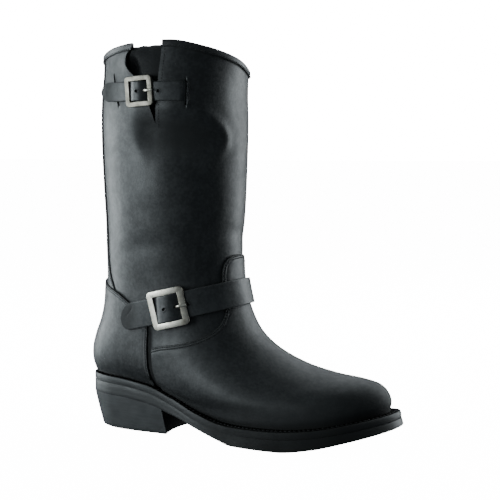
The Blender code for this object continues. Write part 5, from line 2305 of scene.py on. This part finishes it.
@dataclass
class Boot:
    """The whole boot."""

    stitches: StitchMaker = field(default_factory=StitchMaker)

    def build_upper(self) -> None:
        """Upper, gusset, binding, vamp and counter, with their stitching."""
        shaft = ShaftPanel()
        binding = CollarBinding(shaft)
        dress(shaft.build(), "shaft_leather", ["upper"], SHAFT_LEATHER, LINING)
        dress(Gusset().build(), "gusset_leather", ["gusset"], GUSSET_LEATHER, GUSSET_LEATHER)
        dress(binding.build(), "binding_leather", ["collar_binding"], BINDING_LEATHER)
        lines = [*shaft.stitch_lines(), binding.stitch_line()]
        dress(self.stitches.rows("shaft_stitching", lines, THREAD), "shaft_leather", [])
        for piece, finish, node in ((Vamp(), VAMP_LEATHER, "vamp"), (Counter(), COUNTER_LEATHER, "counter")):
            dress(piece.build(), node + "_leather", [node], finish, finish)
            rows = self.stitches.rows(node + "_stitching", piece.stitch_lines(), THREAD)
            dress(rows, node + "_leather", [])

    def build_straps(self) -> None:
        """Straps, buckles and prongs."""
        fold = (Edge(16.0, 9.5), Edge(8.5, 1.0))
        ankle = Strap("ankle_strap_leather", ANKLE, (-2.0, 7.8, 17.6), crease=fold, front_lift=1.6)
        top = Strap("top_strap_leather", TOP, (0.2, 9.2, 18.2), End.INTO_SLIT, tip_lift=3.6)
        # The top buckle takes the dark tone all over: painted shade with some tarnish
        for strap, plan, node, tarnish_and_shade in ((ankle, ANKLE_BUCKLE, "ankle", 0.05), (top, TOP_BUCKLE, "top", 1.0)):
            dress(strap.build(), "strap_leather", [node + "_strap"], STRAP_LEATHER, STRAP_LEATHER)
            buckle = Buckle(node + "_buckle_frame", plan, strap, tarnish_and_shade)
            dress(buckle.build_frame(), "buckle_metal", [node + "_buckle"])
            dress(buckle.build_prong(), "buckle_metal", [node + "_prong"], NICKEL)

    def build_sole(self) -> None:
        """Welt, outsole, heel, tread and the insole inside."""
        welt = SoleLayer("welt_and_midsole", WELT_SECTION, sole_top, welt_foot)
        outsole = SoleLayer("outsole_layer", OUTSOLE_SECTION, lambda x: sole_top(x) - MIDSOLE - GAP, sole_bottom)
        strip = welt.build()
        # The welt's top faces take the second slot: painted shade
        for face in strip.data.polygons:
            face.material_index = int(face.normal.z > FACES_UP)
        dress(strip, "midsole_rubber", ["midsole"], WELT_RUBBER, WELT_TOP_SHADE)
        dress(outsole.build(), "outsole_rubber", ["outsole"], OUTSOLE_RUBBER)
        dress(HeelBlock().build(), "heel_rubber", ["heel"], HEEL_RUBBER, BREAST_SHADE_RUBBER)
        dress(Tread().build(), "outsole_rubber", [])
        sizes = {"pitch": 4.2, "length": 3.2, "width": 1.0, "height": 0.8}
        dress(self.stitches.rows("welt_stitching", [welt_line()], WELT_THREAD, **sizes), "midsole_rubber", [])
        board = SoleLayer("insole_board", INSOLE_SECTION, lambda x: sole_top(x) + INSOLE_THICKNESS, sole_top)
        dress(board.build(), "insole_leather", ["insole"], INSOLE)


@dataclass(frozen=True)
class SoftBox:
    """A soft light placed by its turn from the camera (positive to the picture's right), climb and distance."""

    name: str
    turn: float
    climb: float
    away: float
    size: Pair
    power: float
    tint: Colour


@dataclass
class Studio:
    """Pale floor, soft lights and the camera."""

    camera_at: Triple = (0.6374, -1.0688, 0.2655)
    camera_aim: Triple = (0.1070, 0.0343, 0.1700)
    lens: float = 92.5
    sensor: float = 36.0
    floor_half: float = 30.0
    floor_glow: float = 15.0
    surround: float = 20.0
    room: float = 0.14
    middle: Triple = (0.06, 0.0, 0.19)
    boxes: tuple[SoftBox, ...] = (
        SoftBox("left_box", -114.0, 6.0, 1.35, (0.9, 1.1), 22.6, (0.88, 0.97, 1.0)),
        SoftBox("left_fill", -62.0, 4.0, 1.7, (1.3, 0.62), 23.5, (0.86, 0.96, 1.0)),
        SoftBox("right_box", 112.0, 14.0, 1.45, (1.0, 1.5), 23.2, (0.90, 0.97, 1.0)),
        SoftBox("back_box", 158.0, 34.0, 1.5, (1.2, 0.8), 6.0, (0.90, 0.97, 1.0)),
        SoftBox("top_box", 150.0, 66.0, 1.5, (1.1, 0.9), 2.4, (0.88, 0.97, 1.0)),
    )

    def light(self, box: SoftBox) -> None:
        """Set up one soft box, turned to the boot.

        Args:
            box: The light.
        """
        target = Vector(self.middle)
        view = Vector(self.camera_at) - target
        bearing, climb = np.arctan2(view.y, view.x) + np.radians(box.turn), np.radians(box.climb)
        away = Vector((np.cos(bearing) * np.cos(climb), np.sin(bearing) * np.cos(climb), np.sin(climb)))
        data = bpy.data.lights.new(box.name, "AREA")
        data.shape = "RECTANGLE"
        data.size, data.size_y = box.size
        data.energy = box.power
        data.color = box.tint
        made = placed(box.name, data)
        made.location = target + away * box.away
        made.rotation_euler = (-away).to_track_quat("-Z", "Y").to_euler()

    def floor(self) -> None:
        """Wide pale floor that only the camera sees, so that it lights the boot no more than the room does."""
        bm = bmesh.new()
        bmesh.ops.create_grid(bm, x_segments=8, y_segments=8, size=self.floor_half)
        mesh = bpy.data.meshes.new("floor")
        bm.to_mesh(mesh)
        bm.free()
        made = placed("floor", mesh)
        material = bpy.data.materials.new("pale_floor")
        material.use_nodes = True
        tree = Tree(material.node_tree)
        diffuse = tree.node("ShaderNodeBsdfDiffuse", None, {"Color": (0.92, 0.92, 0.92, 1.0)})
        glow = tree.node("ShaderNodeEmission", None, {"Color": (1.0, 1.0, 1.0, 1.0), "Strength": self.floor_glow})
        both = tree.node("ShaderNodeAddShader", None, {0: diffuse, 1: glow})
        tree.node("ShaderNodeOutputMaterial", None, {"Surface": both})
        mesh.materials.append(material)
        made.visible_glossy = made.visible_diffuse = False

    def world(self) -> None:
        """White surround for the camera, a dim grey room for the light."""
        world = bpy.data.worlds.new("studio")
        world.use_nodes = True
        tree = Tree(world.node_tree)
        dim = tree.node("ShaderNodeBackground", None, {"Color": (0.78, 0.92, 1.0, 1.0), "Strength": self.room})
        white = tree.node("ShaderNodeBackground", None, {"Color": (1.0, 1.0, 1.0, 1.0), "Strength": self.surround})
        ray = tree.node("ShaderNodeLightPath", None, None, "Is Camera Ray")
        mixed = tree.node("ShaderNodeMixShader", None, {0: ray, 1: dim, 2: white})
        tree.node("ShaderNodeOutputWorld", None, {"Surface": mixed})
        bpy.context.scene.world = world

    def build(self) -> None:
        """Set the stage."""
        self.floor()
        self.world()
        for box in self.boxes:
            self.light(box)
        camera = bpy.data.cameras.new("camera")
        camera.lens = self.lens
        camera.sensor_width = self.sensor
        made = placed("camera", camera)
        made.location = self.camera_at
        made.rotation_euler = (Vector(self.camera_aim) - Vector(self.camera_at)).to_track_quat("-Z", "Y").to_euler()
        bpy.context.scene.camera = made


def main() -> None:
    """Build the boot and its studio."""
    logging.basicConfig(level=logging.INFO, format="%(name)s %(message)s")
    boot = Boot()
    boot.build_upper()
    boot.build_straps()
    boot.build_sole()
    Studio().build()


if __name__ == "__main__":
    main()
